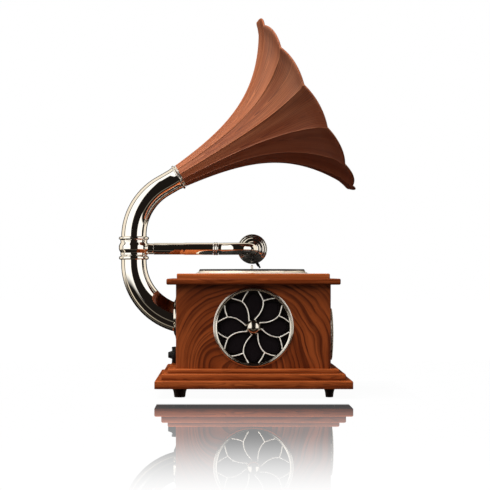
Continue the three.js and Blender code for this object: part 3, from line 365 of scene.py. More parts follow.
BOARD_LIGHT = (0.31, 0.067, 0.0145)
BOARD_MIDDLE = (0.2, 0.037, 0.0068)
BOARD_DARK = (0.066, 0.0096, 0.0014)
# Painted highlight colour for the boards' rounded upper edges
BOARD_PAINTED_HIGHLIGHT = (0.38, 0.092, 0.021)
BOARD_RAISED = (0.45, 0.115, 0.03)
BOARD_LEVELS = [
    (FOOT_HEIGHT, PLINTH_BOARD_TOP),
    (PLINTH_BOARD_TOP, PLINTH_STEP_TOP),
    (PLINTH_STEP_TOP, WALL_BOTTOM),
    (WALL_TOP, TOP_BOARD_TOP),
    (TOP_BOARD_TOP, TOP_PAD_TOP),
]
WALL_LIGHT = (0.265, 0.056, 0.0118)
WALL_MIDDLE = (0.186, 0.035, 0.0063)
WALL_DARK = (0.06, 0.009, 0.0014)
HORN_LIGHT = (0.34, 0.106, 0.041)
HORN_MIDDLE = (0.24, 0.059, 0.0172)
HORN_DARK = (0.084, 0.016, 0.0042)
# Painted shade for the downward petals, and painted highlight along the seams
HORN_PAINTED_SHADE = (0.13, 0.014, 0.0)
HORN_SEAM_HIGHLIGHT = (0.46, 0.165, 0.07)


def board_wood():
    """Boards mitred at the corners, so the grain runs along each side. Each moulding has a painted
    highlight on its rounded upper edge and painted shade on its lower half. The top edge board is
    darker all over, without the painted highlight, and the raised top board is lighter all over."""
    finish = Finish("veneered_boards")
    along, across, z, side = finish.side_place()
    waves = noise(along * 0.012, across * 0.11 + side * 7.3, z * 0.16, 2.0, 0.45, 0.3)
    rings = maths("FRACT", waves * 9)
    line = step(rings, 0.25, 0.86) * step(rings, 1.0, 0.88)
    strength = noise(along * 0.02, across * 0.4, z * 0.4, 1.0)
    fibre = noise(along * 0.09, across * 2.2, z * 2.2, 3.0, 0.6)
    flow = step(noise(along * 0.02, across * 0.22, z * 0.3, 2.0), 0.36, 0.66)
    fleck = step(fibre, 0.56, 0.7)
    shown = line * step(strength, 0.3, 0.62, 0.15, 0.8)
    colour = wood_colours(shown, flow, fleck, BOARD_LIGHT, BOARD_MIDDLE, BOARD_DARK)
    # Painted highlight on each board's rounded upper edge, and painted shade on its lower half
    painted_edge_highlight, painted_foot_shade = 0.0, 0.0
    for bottom, top in BOARD_LEVELS:
        height = top - bottom
        edge = step(z, top - height * 0.62, top - height * 0.3) * step(z, top + 0.1, top - 0.1)
        foot = step(z, bottom - 0.1, bottom + 0.1) * step(z, bottom + height * 0.5, bottom)
        painted_edge_highlight, painted_foot_shade = painted_edge_highlight + edge, painted_foot_shade + foot
    above = step(z, TOP_BOARD_TOP + 0.1, TOP_BOARD_TOP)
    overhanging = step(z, WALL_TOP - 0.1, WALL_TOP) * above
    # Painted shade at the foot of each board, and the top edge board darker all over
    darkened = maths("MINIMUM", painted_foot_shade * 0.68 + overhanging * 0.4, 0.75)
    colour = mix(darkened, colour, BOARD_DARK)
    # Painted highlight along each rounded upper edge, left off the top edge board
    colour = mix(painted_edge_highlight * 0.3 * (1 - overhanging), colour, BOARD_PAINTED_HIGHLIGHT)
    colour = mix(step(z, TOP_BOARD_TOP, TOP_BOARD_TOP + 0.1) * 0.4, colour, BOARD_RAISED)
    return finish.set(
        Base_Color=colour,
        Roughness=0.38 + fibre * 0.14,
        Specular_IOR_Level=0.13,
        Normal=finish.bump(fibre - line * 0.4, 0.16, 0.0003),
    )


def wall_wood():
    """Wide veneer with nested arches behind the grille, as on a plain-sawn board."""
    finish = Finish("veneered_walls")
    across, depth, z, side = finish.side_place()
    warp = noise(across * 0.014, depth * 0.02 + side * 3.1, z * 0.02, 1.0) - 0.5
    sway = noise(across * 0.03, depth * 0.02 + 9.0, z * 0.012, 2.0) - 0.5
    wide = abs(across + 5 + warp * 14 + sway * 5) / 80
    tall = maths("MAXIMUM", z - 22 + warp * 12, 0.0) / 92
    hill = (wide**2.6 + tall**2.6) ** (1 / 2.6)
    knot_x = (across + 48 + sway * 8) / 17
    knot_z = (z - 30) / 26
    knot = 1 / (1 + (knot_x * knot_x + knot_z * knot_z) ** 1.5)
    field = hill * 15 - knot * 3.4 + sway * 1.2
    along = maths("ARCTAN2", tall, across * 0.0125)
    bands = noise(field * 0.85, along * 0.5, depth * 0.02, 1.5, 0.5)
    rings = maths("FRACT", field * 0.95 + bands * 2.2)
    strength = noise(across * 0.035, depth * 0.02, z * 0.02, 2.0)
    line = step(rings, 0.25, 0.86) * step(rings, 1.0, 0.9) * step(strength, 0.32, 0.6, 0.25, 0.85)
    streaks = noise(field * 2.6, along * 0.9, depth * 0.05 + 4.0, 2.0, 0.6)
    thin = step(streaks, 0.53, 0.68)
    fibre = noise(field * 9, along * 5, depth * 0.6, 3.0, 0.65)
    flow = step(noise(field * 0.5, along * 0.8, depth * 0.03, 2.0), 0.36, 0.64)
    fleck = step(fibre, 0.54, 0.72)
    shown = maths("MINIMUM", line + thin * 0.35 + step(bands, 0.52, 0.7) * 0.35, 0.92)
    colour = wood_colours(shown, flow, fleck, WALL_LIGHT, WALL_MIDDLE, WALL_DARK)
    return finish.set(
        Base_Color=colour,
        Roughness=0.42 + fibre * 0.14,
        Specular_IOR_Level=0.2,
        Normal=finish.bump(fibre - line * 0.4, 0.14, 0.0003),
    )


def horn_wood():
    """Wood-grain finish on the horn: long nested arches in each petal, from throat to rim. The
    downward petals have painted shade, and each seam a painted highlight line, weaker on the
    downward petals.
    """
    finish = Finish("horn_grain")
    u, chart, _ = parts(finish.value("ShaderNodeUVMap", {"uv_map": "petals"}))
    inside = chart > 1.5
    outside = 1 - inside
    v = chart - inside * 2
    petal = maths("FLOOR", u)
    across = (u - petal) * 2 - 1
    seed = petal * 5.37
    lean = maths("SINE", petal * 2.4)
    warp = noise(across * 0.5 + seed, v * 2.0, seed, 1.0) - 0.5
    sway = noise(across * 0.9 + seed, v * 3.0, seed + 11, 2.0) - 0.5
    wide = across + lean * 0.55 + warp * 0.7 - lean * v**3 * 0.35
    tall = (v - 0.97) * 0.62 + sway * 0.1
    hill = maths("SQRT", wide * wide + tall * tall)
    field = hill * 7.5 + sway * 1.2 + seed
    bands = noise(field * 0.9, v * 0.8, seed, 1.5)
    rings = maths("FRACT", field * 1.4 + bands * 2.5)
    line = step(rings, 0.3, 0.9) * step(rings, 1.0, 0.93)
    streaks = step(noise(field * 3.4, v * 1.6, seed + 3, 2.0, 0.6), 0.5, 0.68)
    fibre = noise(field * 9, v * 2.5, seed, 2.0, 0.6)
    flow = noise(across * 1.6 + seed, v * 2.2, seed + 5, 2.0)
    strength = noise(across * 1.3 + seed, v * 3.1, seed + 17, 1.0)
    shown = line * step(strength, 0.3, 0.6, 0.35, 0.85) + streaks * 0.3
    grain = wood_colours(
        maths("MINIMUM", shown, 0.9) * step(v, 0.0, 0.35, 0.3, 1.0),
        step(flow, 0.34, 0.66),
        step(fibre, 0.54, 0.72) * 0.6,
        HORN_LIGHT,
        HORN_MIDDLE,
        HORN_DARK,
    )
    below = maths("COSINE", u * (2 * math.pi / HORN_PETALS))
    # Painted shade: the petals that face down are darker on the outside
    grain = mix(step(below, 0.1, 0.65) * outside * 0.5, grain, HORN_PAINTED_SHADE)
    # Painted highlight: a light line along each seam, weaker on the downward petals outside
    wear_and_seam_highlight = step(abs(across), 0.955, 0.985) * (1 - outside * step(below, 0.3, 0.8) * 0.6)
    return finish.set(
        Base_Color=mix(wear_and_seam_highlight * step(v, 0.1, 0.3) * 0.6, grain, HORN_SEAM_HIGHLIGHT),
        Roughness=0.42 + fibre * 0.1,
        Specular_IOR_Level=0.65,
        Normal=finish.bump(fibre * 0.4 - line * 0.6, 0.06, 0.0002),
    )


def plain_finish(name, colour, second, scale, roughness, metallic=0.0, coat=0.0, specular=0.5):
    """A finish with fine mottling in its colour, gloss and surface."""
    finish = Finish(name)
    x, y, z = finish.place()
    mottle = noise(x, y, z, 3.0, 0.55, scale=scale)
    wear_and_seam_highlight = step(mottle, 0.35, 0.7)
    return finish.set(
        Base_Color=mix(wear_and_seam_highlight, colour, second),
        Roughness=roughness + mottle * roughness * 0.5,
        Metallic=metallic,
        Coat_Weight=coat,
        Coat_Roughness=0.08,
        Specular_IOR_Level=specular,
        Normal=finish.bump(mottle, 0.1, 0.0002),
    )


def speaker_cloth():
    """Plain black weave, about three threads to the millimetre both ways."""
    finish = Finish("speaker_cloth")
    across, _, z, _ = finish.side_place()
    warp = maths("SINE", across * 9)
    weft = maths("SINE", z * 9)
    weave = warp * weft * 0.5 + 0.5
    return finish.set(
        Base_Color=mix(weave, (0.0035, 0.0024, 0.0028), (0.0085, 0.0055, 0.0065)),
        Roughness=0.92,
        Specular_IOR_Level=0.2,
        Normal=finish.bump(weave, 0.5, 0.0002),
    )


def ribbed_mat():
    """The platter's mat: fine rings round the spindle, with smooth bands between them."""
    finish = Finish("platter_mat")
    x, y, z = finish.place()
    reach = maths("SQRT", x * x + y * y)
    ring = maths("SINE", reach * 7.5) * 0.5 + 0.5
    band = step(maths("FRACT", reach / 9.3), 0.06, 0.14)
    grooved = ring * band * step(reach, 14, 15) * step(reach, 54, 53.4)
    dust = noise(x, y, z, 3.0, scale=0.4)
    return finish.set(
        Base_Color=mix(dust, (0.006, 0.006, 0.006), (0.014, 0.013, 0.012)),
        Roughness=0.3 + grooved * 0.25,
        Normal=finish.bump(grooved, 0.6, 0.0002),
    )


def warm_chrome(name, colour, tint, roughness):
    """Bright warm nickel plate with a barely uneven polish."""
    finish = Finish(name)
    x, y, z = finish.place()
    polish = noise(x, y, z, 3.0, 0.6, scale=0.05)
    fine = noise(x, y, z, 2.0, scale=1.2)
    return finish.set(
        Base_Color=mix(step(polish, 0.35, 0.65), colour, tint),
        Roughness=roughness + fine * roughness * 0.8,
        Metallic=1.0,
        Normal=finish.bump(polish, 0.03, 0.0003),
    )


BOARDS = board_wood()
WALLS = wall_wood()
HORN = horn_wood()
CHROME = warm_chrome("warm_chrome", (0.93, 0.9, 0.85), (0.89, 0.85, 0.78), 0.03)
GRILLE_CHROME = warm_chrome("grille_chrome", (0.86, 0.81, 0.73), (0.7, 0.64, 0.55), 0.1)
RIDGE_NICKEL = plain_finish("ridge_nickel", (1.0, 0.95, 0.86), (0.86, 0.79, 0.68), 0.4, 0.3, 0.4)
SATIN_NICKEL = plain_finish("satin_nickel", (0.98, 0.89, 0.74), (0.86, 0.77, 0.62), 0.3, 0.26, 0.55)
DARK_NICKEL = plain_finish(
    "dark_nickel", (0.022, 0.018, 0.016), (0.045, 0.037, 0.032), 0.6, 0.3, 1.0
)
OLD_NICKEL = plain_finish("old_nickel", (0.09, 0.07, 0.055), (0.62, 0.54, 0.44), 0.55, 0.3, 1.0)
DARK_WOOD = plain_finish(
    "dark_stained_wood",
    (0.014, 0.0042, 0.0012),
    (0.026, 0.008, 0.0024),
    0.35,
    0.36,
    coat=0.05,
    specular=0.15,
)
BLACK = plain_finish(
    "black_moulding", (0.006, 0.0056, 0.0056), (0.011, 0.0102, 0.0102), 1.5, 0.38, specular=0.2
)
CLOTH = speaker_cloth()
MAT = ribbed_mat()
STEEL = plain_finish("zinc_plated_steel", (0.48, 0.49, 0.5), (0.36, 0.37, 0.38), 0.25, 0.3, 1.0)
BRASS = plain_finish("turned_brass", (0.62, 0.45, 0.19), (0.5, 0.35, 0.13), 0.5, 0.24, 1.0)
FERRITE = plain_finish("ferrite", (0.02, 0.02, 0.021), (0.034, 0.034, 0.036), 1.2, 0.6)
PAPER = plain_finish("pressed_paper", (0.013, 0.013, 0.013), (0.024, 0.023, 0.022), 1.6, 0.8)
CIRCUIT = plain_finish("circuit_board", (0.012, 0.075, 0.03), (0.02, 0.11, 0.045), 0.4, 0.4)


# Shapes


def rounded(corners):
    """A closed outline of (r, z, fillet) corners, each corner turned into an arc of that radius."""
    outline = []
    count = len(corners)
    for i, (r, z, fillet) in enumerate(corners):
        here = Vector((r, z))
        if fillet <= 0:
            outline.append((r, z))
            continue
        before = Vector(corners[i - 1][:2]) - here
        after = Vector(corners[(i + 1) % count][:2]) - here
        half = before.angle(after) / 2
        cut = min(fillet / math.tan(half), 0.49 * before.length, 0.49 * after.length)
        radius = cut * math.tan(half)
        inwards = (before.normalized() + after.normalized()).normalized()
        centre = here + inwards * (radius / math.sin(half))
        start = here + before.normalized() * cut - centre
        end = here + after.normalized() * cut - centre
        turn = start.angle_signed(end)
        steps = max(2, math.ceil(abs(math.degrees(turn)) / 15))
        for k in range(steps + 1):
            spoke = start.copy()
            spoke.rotate(Matrix.Rotation(-turn * k / steps, 2))
            outline.append(tuple(centre + spoke))
    return outline


def turn_outline(outline, sides=96):
    """A closed outline of (radius, height) points, turned about Z."""
    angles = np.arange(sides) * 2 * math.pi / sides
    r, z = np.array(outline, float).T
    around = [np.outer(np.cos(angles), r), np.outer(np.sin(angles), r), np.tile(z, (sides, 1))]
    return grid_mesh(np.stack(around, axis=2), True, True)


def turned(corners, sides=96):
    """A piece turned on a lathe, from (radius, height, fillet) corners."""
    return turn_outline(rounded(corners), sides)


def grid_mesh(points, wrap_rows, wrap_columns):
    """Quads over a grid of points."""
    rows, columns, _ = points.shape
    faces = []
    for i in range(rows if wrap_rows else rows - 1):
        for j in range(columns if wrap_columns else columns - 1):
            k, m = (i + 1) % rows, (j + 1) % columns
            faces.append((i * columns + j, k * columns + j, k * columns + m, i * columns + m))
    return points.reshape(-1, 3), faces


def oriented(shape, origin, x_axis, z_axis):
    """Moves a shape so that its Z axis points along z_axis and its X axis along x_axis."""
    points, faces = shape
    x_axis, z_axis = np.array(x_axis, float), np.array(z_axis, float)
    axes = np.stack([x_axis, np.cross(z_axis, x_axis), z_axis])
    return points @ axes + np.array(origin, float), faces


def sweep(stations, sides=72):
    """Rings round a path. A station is (centre, sideways, upwards, radius)."""
    angles = np.arange(sides) * 2 * math.pi / sides
    rings = []
    for centre, sideways, upwards, radius in stations:
        ring = np.outer(np.cos(angles), upwards) + np.outer(np.sin(angles), sideways)
        rings.append(np.array(centre) + radius * ring)
    return np.array(rings)


def tube(stations, wall):
    """A tube with a wall, closed at both ends round the wall's thickness."""
    outside = sweep(stations)
    inside = sweep([(c, s, u, r - wall) for c, s, u, r in stations])
    return grid_mesh(np.concatenate([outside, inside[::-1]]), True, True)


def rod(diameter, start, end, fillet=0.3, sides=48):
    """A round bar from start to end."""
    start, end = np.array(start, float), np.array(end, float)
    reach = np.linalg.norm(end - start)
    z_axis = (end - start) / reach
    helper = np.array([0, 1, 0]) if abs(z_axis[1]) < 0.9 else np.array([1, 0, 0])
    x_axis = np.cross(helper, z_axis)
    x_axis /= np.linalg.norm(x_axis)
    radius = diameter / 2
    corners = [(0, 0, 0), (radius, 0, fillet), (radius, reach, fillet), (0, reach, 0)]
    return oriented(turned(corners, sides), start, x_axis, z_axis)


def together(*shapes):
    """Several shapes as one."""
    points, faces, offset = [], [], 0
    for these, quads in shapes:
        points.append(these)
        faces += [tuple(corner + offset for corner in quad) for quad in quads]
        offset += len(these)
    return np.concatenate(points), faces


def clean(mesh, sharp):
    """Merges doubles, points the faces outwards and shades all but sharp edges smooth."""
    work = bmesh.new()
    work.from_mesh(mesh)
    bmesh.ops.remove_doubles(work, verts=work.verts, dist=2e-6)
    bmesh.ops.dissolve_degenerate(work, edges=work.edges, dist=1e-7)
    bmesh.ops.recalc_face_normals(work, faces=work.faces)
    work.to_mesh(mesh)
    work.free()
    mesh.polygons.foreach_set("use_smooth", [True] * len(mesh.polygons))
    mesh.set_sharp_from_angle(angle=math.radians(sharp))


def in_scene(points):
    """Turns millimetres from the middle of the cabinet into the frame's metres."""
    return points * MILLIMETRE + np.array([MIDDLE_X, 0, 0])


def add(name, shape, body, material, nodes=(), sharp=32):
    """Adds a piece. Its shape is (points, faces) or a mesh, in millimetres."""
    if isinstance(shape, bpy.types.Mesh):
        mesh = moved(shape, in_scene)
        mesh.name = name
    else:
        points, faces = shape
        mesh = new_mesh(name, in_scene(points).tolist(), faces=faces)
    clean(mesh, sharp)
    if material:
        mesh.materials.clear()
        mesh.materials.append(material)
    piece = put(name, mesh)
    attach(piece, body)
    if nodes:
        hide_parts(*nodes)
    return piece


# Each wall as the direction out of it and the one along it
NEAR = ((0, -1, 0), (1, 0, 0))
FAR = ((0, 1, 0), (-1, 0, 0))
FRONT = ((1, 0, 0), (0, 1, 0))
REAR = ((-1, 0, 0), (0, -1, 0))


def on_wall(shape, wall, height, sideways=0.0):
    """Puts a shape on a wall, its Z axis pointing out of it."""
    out, side = np.array(wall[0], float), np.array(wall[1], float)
    origin = out * HALF + side * sideways + np.array([0, 0, height])
    return oriented(shape, origin, side, out)


# Camera

PHOTO_WIDTH = 490
PHOTO_DISTANCE = 1606  # pixels from the camera to the plane through the tonearm
PHOTO_SCALE = 1.0667 * MILLIMETRE
PHOTO_MIDDLE_X = 251.9
PHOTO_FLOOR = 391.7
VANISHING_X, VANISHING_Y = 221, 275
SENSOR = 36

camera_data = bpy.data.cameras.new("camera")
camera = put("camera", camera_data)
camera_data.sensor_width = SENSOR
camera_data.lens = SENSOR * PHOTO_DISTANCE / PHOTO_WIDTH
camera_data.shift_x = (PHOTO_WIDTH / 2 - VANISHING_X) / PHOTO_WIDTH
camera_data.shift_y = (VANISHING_Y - PHOTO_WIDTH / 2) / PHOTO_WIDTH
camera.location = (
    MIDDLE_X + (VANISHING_X - PHOTO_MIDDLE_X) * PHOTO_SCALE,
    -PHOTO_DISTANCE * PHOTO_SCALE,
    (PHOTO_FLOOR - VANISHING_Y) * PHOTO_SCALE,
)
camera.rotation_euler = (math.pi / 2, 0, 0)
bpy.context.scene.camera = camera


# Feet and boards


def foot(name, node, x, y, top, bottom):
    """A turned foot, its diameter going from top to bottom."""
    points, faces = turned([
        (0, 0, 0), (bottom / 2, 0, 0.7), ((top + bottom) / 4 - 0.4, FOOT_HEIGHT * 0.55, 9),
        (top / 2, FOOT_HEIGHT, 0.2), (0, FOOT_HEIGHT, 0),
    ], 64)
    add(name, (points + np.array([x, y, 0]), faces), "root", DARK_WOOD, [node])


for side, y in (("near", -FOOT_PLACE), ("far", FOOT_PLACE)):
    for end, x, diameters in (
        ("rear", REAR_FOOT_SHIFT - FOOT_PLACE, REAR_FOOT),
        ("front", FOOT_PLACE + FRONT_FOOT_SHIFT, FRONT_FOOT),
    ):
        foot(f"{end}_{side}_turned_foot", f"{end}_{side}_foot", x, y, *diameters)


def square_loop(half, z):
    """The edge of a square with rounded corners, half being half its width."""
    loop = []
    for quadrant, (way_x, way_y) in enumerate(((1, 1), (-1, 1), (-1, -1), (1, -1))):
        for k in range(5):
            angle = math.radians(90 * quadrant + 22.5 * k)
            x = way_x * (half - BOARD_CORNER) + BOARD_CORNER * math.cos(angle)
            y = way_y * (half - BOARD_CORNER) + BOARD_CORNER * math.sin(angle)
            loop.append((x, y, z))
    return loop


def board(name, node, half, outline, hole=None):
    """A square board with the outline of (inset, height, fillet) corners round its edge."""
    edge = [(half - inset, z, fillet) for inset, z, fillet in outline]
    bottom, top = outline[0][1], outline[-1][1]
    closed = rounded([(0, bottom, 0), *edge, (0, top, 0)])
    loops = [square_loop(reach, z) for reach, z in closed if reach]
    points, faces = grid_mesh(np.array(loops), False, True)
    count = len(loops[0])
    last = (len(loops) - 1) * count
    if hole:
        angles = [math.atan2(y, x) for x, y, _ in loops[0]]
        rings = [
            [(hole * math.cos(a), hole * math.sin(a), z) for a in angles] for z in (bottom, top)
        ]
        start = len(points)
        points = np.concatenate([points, np.array(rings).reshape(-1, 3)])
        for j in range(count):
            k = (j + 1) % count
            faces.append((j, k, start + k, start + j))
            faces.append((last + k, last + j, start + count + j, start + count + k))
            faces.append((start + j, start + k, start + count + k, start + count + j))
    else:
        faces.append(tuple(range(count)))
        faces.append(tuple(range(last, last + count)))
    return add(name, (points, faces), "root", BOARDS, [node])


def plinth_edge(bottom, top, fillet):
    """The edge of a plinth board, rounded at the top."""
    return [(0, bottom, 0), (0, top, fillet), (3.2, top, 0)]


lowest = plinth_edge(FOOT_HEIGHT, PLINTH_BOARD_TOP, 2.9)
lowest[0] = (0, FOOT_HEIGHT, 0.5)
board("plinth_lower_board", "plinth_board", 100, lowest)
middle = plinth_edge(PLINTH_BOARD_TOP, PLINTH_STEP_TOP, 2.9)
board("plinth_middle_board", "plinth_step", 93.25, middle)
board("plinth_upper_board", "plinth_cap", 87.05, plinth_edge(PLINTH_STEP_TOP, WALL_BOTTOM, 2.6))
overhang = [(3.1, WALL_TOP, 0), (0, WALL_TOP, 1.7)]
overhang += [(0, TOP_BOARD_TOP, 1.7), (3.1, TOP_BOARD_TOP, 0)]
board("top_edge_board", "top_board", 88.3, overhang, 6.2)
raised = [(0, TOP_BOARD_TOP, 0), (0, TOP_PAD_TOP, 1.6), (2.4, TOP_PAD_TOP, 0)]
board("top_raised_board", "top_pad", 78.05, raised, 10.3)


# Side grilles

# Each curve is four control points. A leaf's are (x, y) shares of the opening's radius
LEAF_CURVES = [
    ((0.955, 0.0), (0.9, 0.1), (0.81, 0.235), (0.7, 0.225)),
    ((0.7, 0.225), (0.57, 0.215), (0.47, 0.07), (0.24, 0.085)),
    ((0.24, 0.085), (0.23, 0.06), (0.225, 0.04), (0.215, 0.02)),
    ((0.215, 0.02), (0.32, -0.07), (0.43, -0.23), (0.6, -0.235)),
    ((0.6, -0.235), (0.77, -0.24), (0.9, -0.12), (0.955, 0.0)),
]
# and a spandrel's are (reach, turn), the turn in radians from the middle between two leaves
SPANDREL_CURVES = [
    ((0.945, -0.165), (0.95, -0.06), (0.95, 0.06), (0.945, 0.165)),
    ((0.945, 0.165), (0.9, 0.08), (0.86, 0.03), (0.8, 0.0)),
    ((0.8, 0.0), (0.86, -0.03), (0.9, -0.08), (0.945, -0.165)),
]
# Ridges between the leaves as (reach, degrees): a stem from the hub that forks to the rim
RIDGE_STEM = [
    (0.19, 37), (0.26, 28), (0.34, 22), (0.43, 19.4),
    (0.53, 18.9), (0.63, 20.3), (0.7, 21.9), (0.76, 23.6),
]
RIDGE_FORKS = [
    [(0.82, 19.6), (0.88, 15.6), (0.93, 12.2), (0.99, 8.2)],
    [(0.82, 27.6), (0.88, 31.2), (0.93, 34), (0.99, 37.2)],
]


def bezier_points(curves, steps=10):
    """Points along curves that follow each other, without the last curve's end."""
    points = []
    for a, b, c, d in np.array(curves, float):
        for t in np.arange(steps) / steps:
            u = 1 - t
            points.append(a * u**3 + 3 * b * t * u**2 + 3 * c * t * t * u + d * t**3)
    return np.array(points)


def grille_outlines(radius):
    """One leaf and one spandrel, as closed loops of edges."""
    leaf = bezier_points(LEAF_CURVES) * radius
    reach, turn = bezier_points(SPANDREL_CURVES).T
    turn = turn + math.pi / 8
    spandrel = np.stack([reach * np.cos(turn), reach * np.sin(turn)], axis=1) * radius
    points, edges = [], []
    for outline in (leaf, spandrel):
        first, count = len(points), len(outline)
        points += [(x, y, 0.0) for x, y in outline]
        edges += [(first + i, first + (i + 1) % count) for i in range(count)]
    return new_mesh("grille_outlines", points, edges)


def ridge_lines(radius):
    """One forked ridge, as two open lines of edges."""
    points, edges = [], []
    for line in (RIDGE_STEM + RIDGE_FORKS[0], RIDGE_STEM[-1:] + RIDGE_FORKS[1]):
        first = len(points)
        for reach, degrees in line:
            turn = math.radians(degrees)
            points.append((radius * reach * math.cos(turn), radius * reach * math.sin(turn), 0.0))
        edges += [(k, k + 1) for k in range(first, len(points) - 1)]
    return new_mesh("grille_ridges", points, edges)


def openings(graph, size, outlines):
    """The outlines repeated round the middle, as curves."""
    curves = graph.geometry("MeshToCurve", Mesh=outlines)
    points = graph.geometry("Points", Count=size["Leaves"])
    turn = vector(0.0, 0.0, graph.geometry("InputIndex") * (2 * math.pi) / size["Leaves"])
    spread = graph.geometry("InstanceOnPoints", Points=points, Instance=curves, Rotation=turn)
    return graph.geometry("RealizeInstances", Geometry=spread)


def rosette_plate(graph, size, outlines):
    """The sheet that is left between the openings."""
    edge = graph.geometry("CurvePrimitiveCircle", Resolution=160, Radius=size["Plate radius"])
    sheet = graph.geometry("FillCurve", Curve=graph.join(openings(graph, size, outlines), edge))
    height = size["Plate thickness"]
    raised = graph.geometry("ExtrudeMesh", Mesh=sheet, Offset_Scale=height, Individual=False)
    closed = graph.join(raised, graph.geometry("FlipFaces", Mesh=sheet))
    return graph.geometry("MergeByDistance", Geometry=closed, Distance=0.001)


def rosette_beads(graph, size, outlines):
    """A low ridge along the web between each two leaves, forked where it meets the rim."""
    half = size["Ridge width"] * 0.5
    rise = half * 0.62
    wire = graph.value(
        "GeometryNodeCurvePrimitiveQuadrilateral",
        {"mode": "POINTS"},
        {
            "Point 1": vector(half, 0.0),
            "Point 2": vector(0.0, rise),
            "Point 3": vector(half * -1.0, 0.0),
            "Point 4": vector(0.0, rise * -1.0),
        },
    )
    lines = openings(graph, size, outlines)
    smooth = {"spline_type": "CATMULL_ROM"}
    lines = graph.value("GeometryNodeCurveSplineType", smooth, {"Curve": lines})
    lines = graph.value("GeometryNodeSetCurveNormal", {"mode": "Z_UP"}, {"Curve": lines})
    beads = graph.geometry("CurveToMesh", Curve=lines, Profile_Curve=wire, Fill_Caps=True)
    lift = vector(0.0, 0.0, size["Plate thickness"])
    return graph.geometry("SetPosition", Geometry=beads, Offset=lift)


def mesh_on_wall(mesh, wall, height, out=0.0):
    """Puts a mesh on a wall, as on_wall does a shape, and out millimetres further out."""
    lift = np.array([0, 0, out])
    return moved(mesh, lambda points: on_wall((points + lift, None), wall, height)[0])


def side_grille(side, wall):
    """The rosette in a long wall: pierced plate, forked ridges, rim and boss."""
    outer = GRILLE_DIAMETER / 2
    opening = outer - GRILLE_RIM
    sizes = {
        "Leaves": 8,
        "Plate radius": opening + 1.2,
        "Plate thickness": GRILLE_PLATE - 0.5,
        "Ridge width": 1.08,
    }
    for part, build, material, lines, nodes in (
        ("rosette", rosette_plate, DARK_NICKEL, grille_outlines(opening), [f"{side}_grille"]),
        ("rosette_beads", rosette_beads, RIDGE_NICKEL, ridge_lines(opening), []),
    ):
        mesh = grow(f"{side}_{part}", sizes, build, material, lines)
        mesh_on_wall(mesh, wall, GRILLE_HEIGHT, -GRILLE_PLATE)
        add(f"{side}_{part}", mesh, "root", None, nodes, 40)
    rim = turned([
        (opening, -GRILLE_PLATE * 0.5, 0), (outer - 1.7, -GRILLE_PLATE * 0.5, 0),
        (outer - 1.7, 0, 0), (outer, 0, 0.2), (outer, 1.1, 0.5), (outer - 0.7, 1.5, 0.25),
        (outer - 0.9, GRILLE_PROUD, 0.9), (outer - 2.5, GRILLE_PROUD, 0.9),
        (outer - 2.8, 1.5, 0.3), (opening, 1.2, 0.5),
    ], 160)
    rim = on_wall(rim, wall, GRILLE_HEIGHT)
    add(f"{side}_grille_rim", rim, "root", GRILLE_CHROME)
    arc = np.radians(np.arange(-12, 90, 6))
    ball = [(BOSS_RADIUS * math.cos(a), 0.1 + BOSS_RISE * math.sin(a)) for a in arc]
    boss = turn_outline([(0, -1.6), *ball, (0, 0.1 + BOSS_RISE)])
    boss = on_wall(boss, wall, GRILLE_HEIGHT)
    add(f"{side}_grille_boss", boss, "root", GRILLE_CHROME)


side_grille("near", NEAR)
side_grille("far", FAR)


# Front grille


def pearl_edge(graph, size, _):
    """A ring of half-sunk beads."""
    ring = graph.geometry("MeshCircle", Vertices=size["Pearls"], Radius=size["Ring radius"])
    pearl = graph.geometry("MeshUVSphere", Segments=12, Rings=8, Radius=size["Pearl radius"])
    return graph.geometry("InstanceOnPoints", Points=ring, Instance=pearl)


guard_radius = FRONT_GRILLE_DIAMETER / 2
guard = turned([
    (guard_radius - 4.2, 0.3, 0), (guard_radius, 0.3, 0.2), (guard_radius, 4.5, 2.4),
    (guard_radius - 3.4, 6.4, 2), (guard_radius * 0.45, FRONT_GRILLE_PROUD, 4),
    (0, FRONT_GRILLE_PROUD, 0), (0, FRONT_GRILLE_PROUD - 1.2, 0),
    (guard_radius * 0.45, FRONT_GRILLE_PROUD - 1.2, 4), (guard_radius - 4.2, 5.2, 1),
], 128)
guard = on_wall(guard, FRONT, FRONT_GRILLE_HEIGHT)
guard_piece = add("front_guard", guard, "root", OLD_NICKEL, ["front_grille"])


def curved_slot(radius, middle, span, steps=25):
    """A tool for one slot, which follows its ring for span radians each way from its middle."""
    angles = np.linspace(middle - span, middle + span, steps)
    outline = []
    for offset, way in ((SLOT_HALF_WIDTH, angles), (-SLOT_HALF_WIDTH, angles[::-1])):
        reach = radius + offset
        outline += [(reach * math.cos(a), reach * math.sin(a)) for a in way]
    loops = np.array([[(x, y, z) for x, y in outline] for z in (2.0, 12.0)])
    points, faces = grid_mesh(loops, False, True)
    count = len(outline)
    faces += [tuple(range(count)), tuple(range(count, 2 * count))]
    return on_wall((points, faces), FRONT, FRONT_GRILLE_HEIGHT)


slots = [
    curved_slot(radius, 2 * math.pi * i / count, math.pi / count - SLOT_BRIDGE / radius)
    for radius, count in SLOT_RINGS
    for i in range(count)
]
points, faces = together(*slots)
cutter_mesh = new_mesh("slot_cutter", in_scene(points).tolist(), faces=faces)
clean(cutter_mesh, 30)
cutter = put("slot_cutter", cutter_mesh)


def cut_with(piece, tool):
    """Cuts a tool out of a piece and applies the result."""
    modifier = piece.modifiers.new("cut", "BOOLEAN")
    modifier.operation = "DIFFERENCE"
    modifier.solver = "EXACT"
    modifier.object = tool
    mesh = applied(piece)
    piece.modifiers.clear()
    piece.data = mesh
    bpy.data.objects.remove(tool)


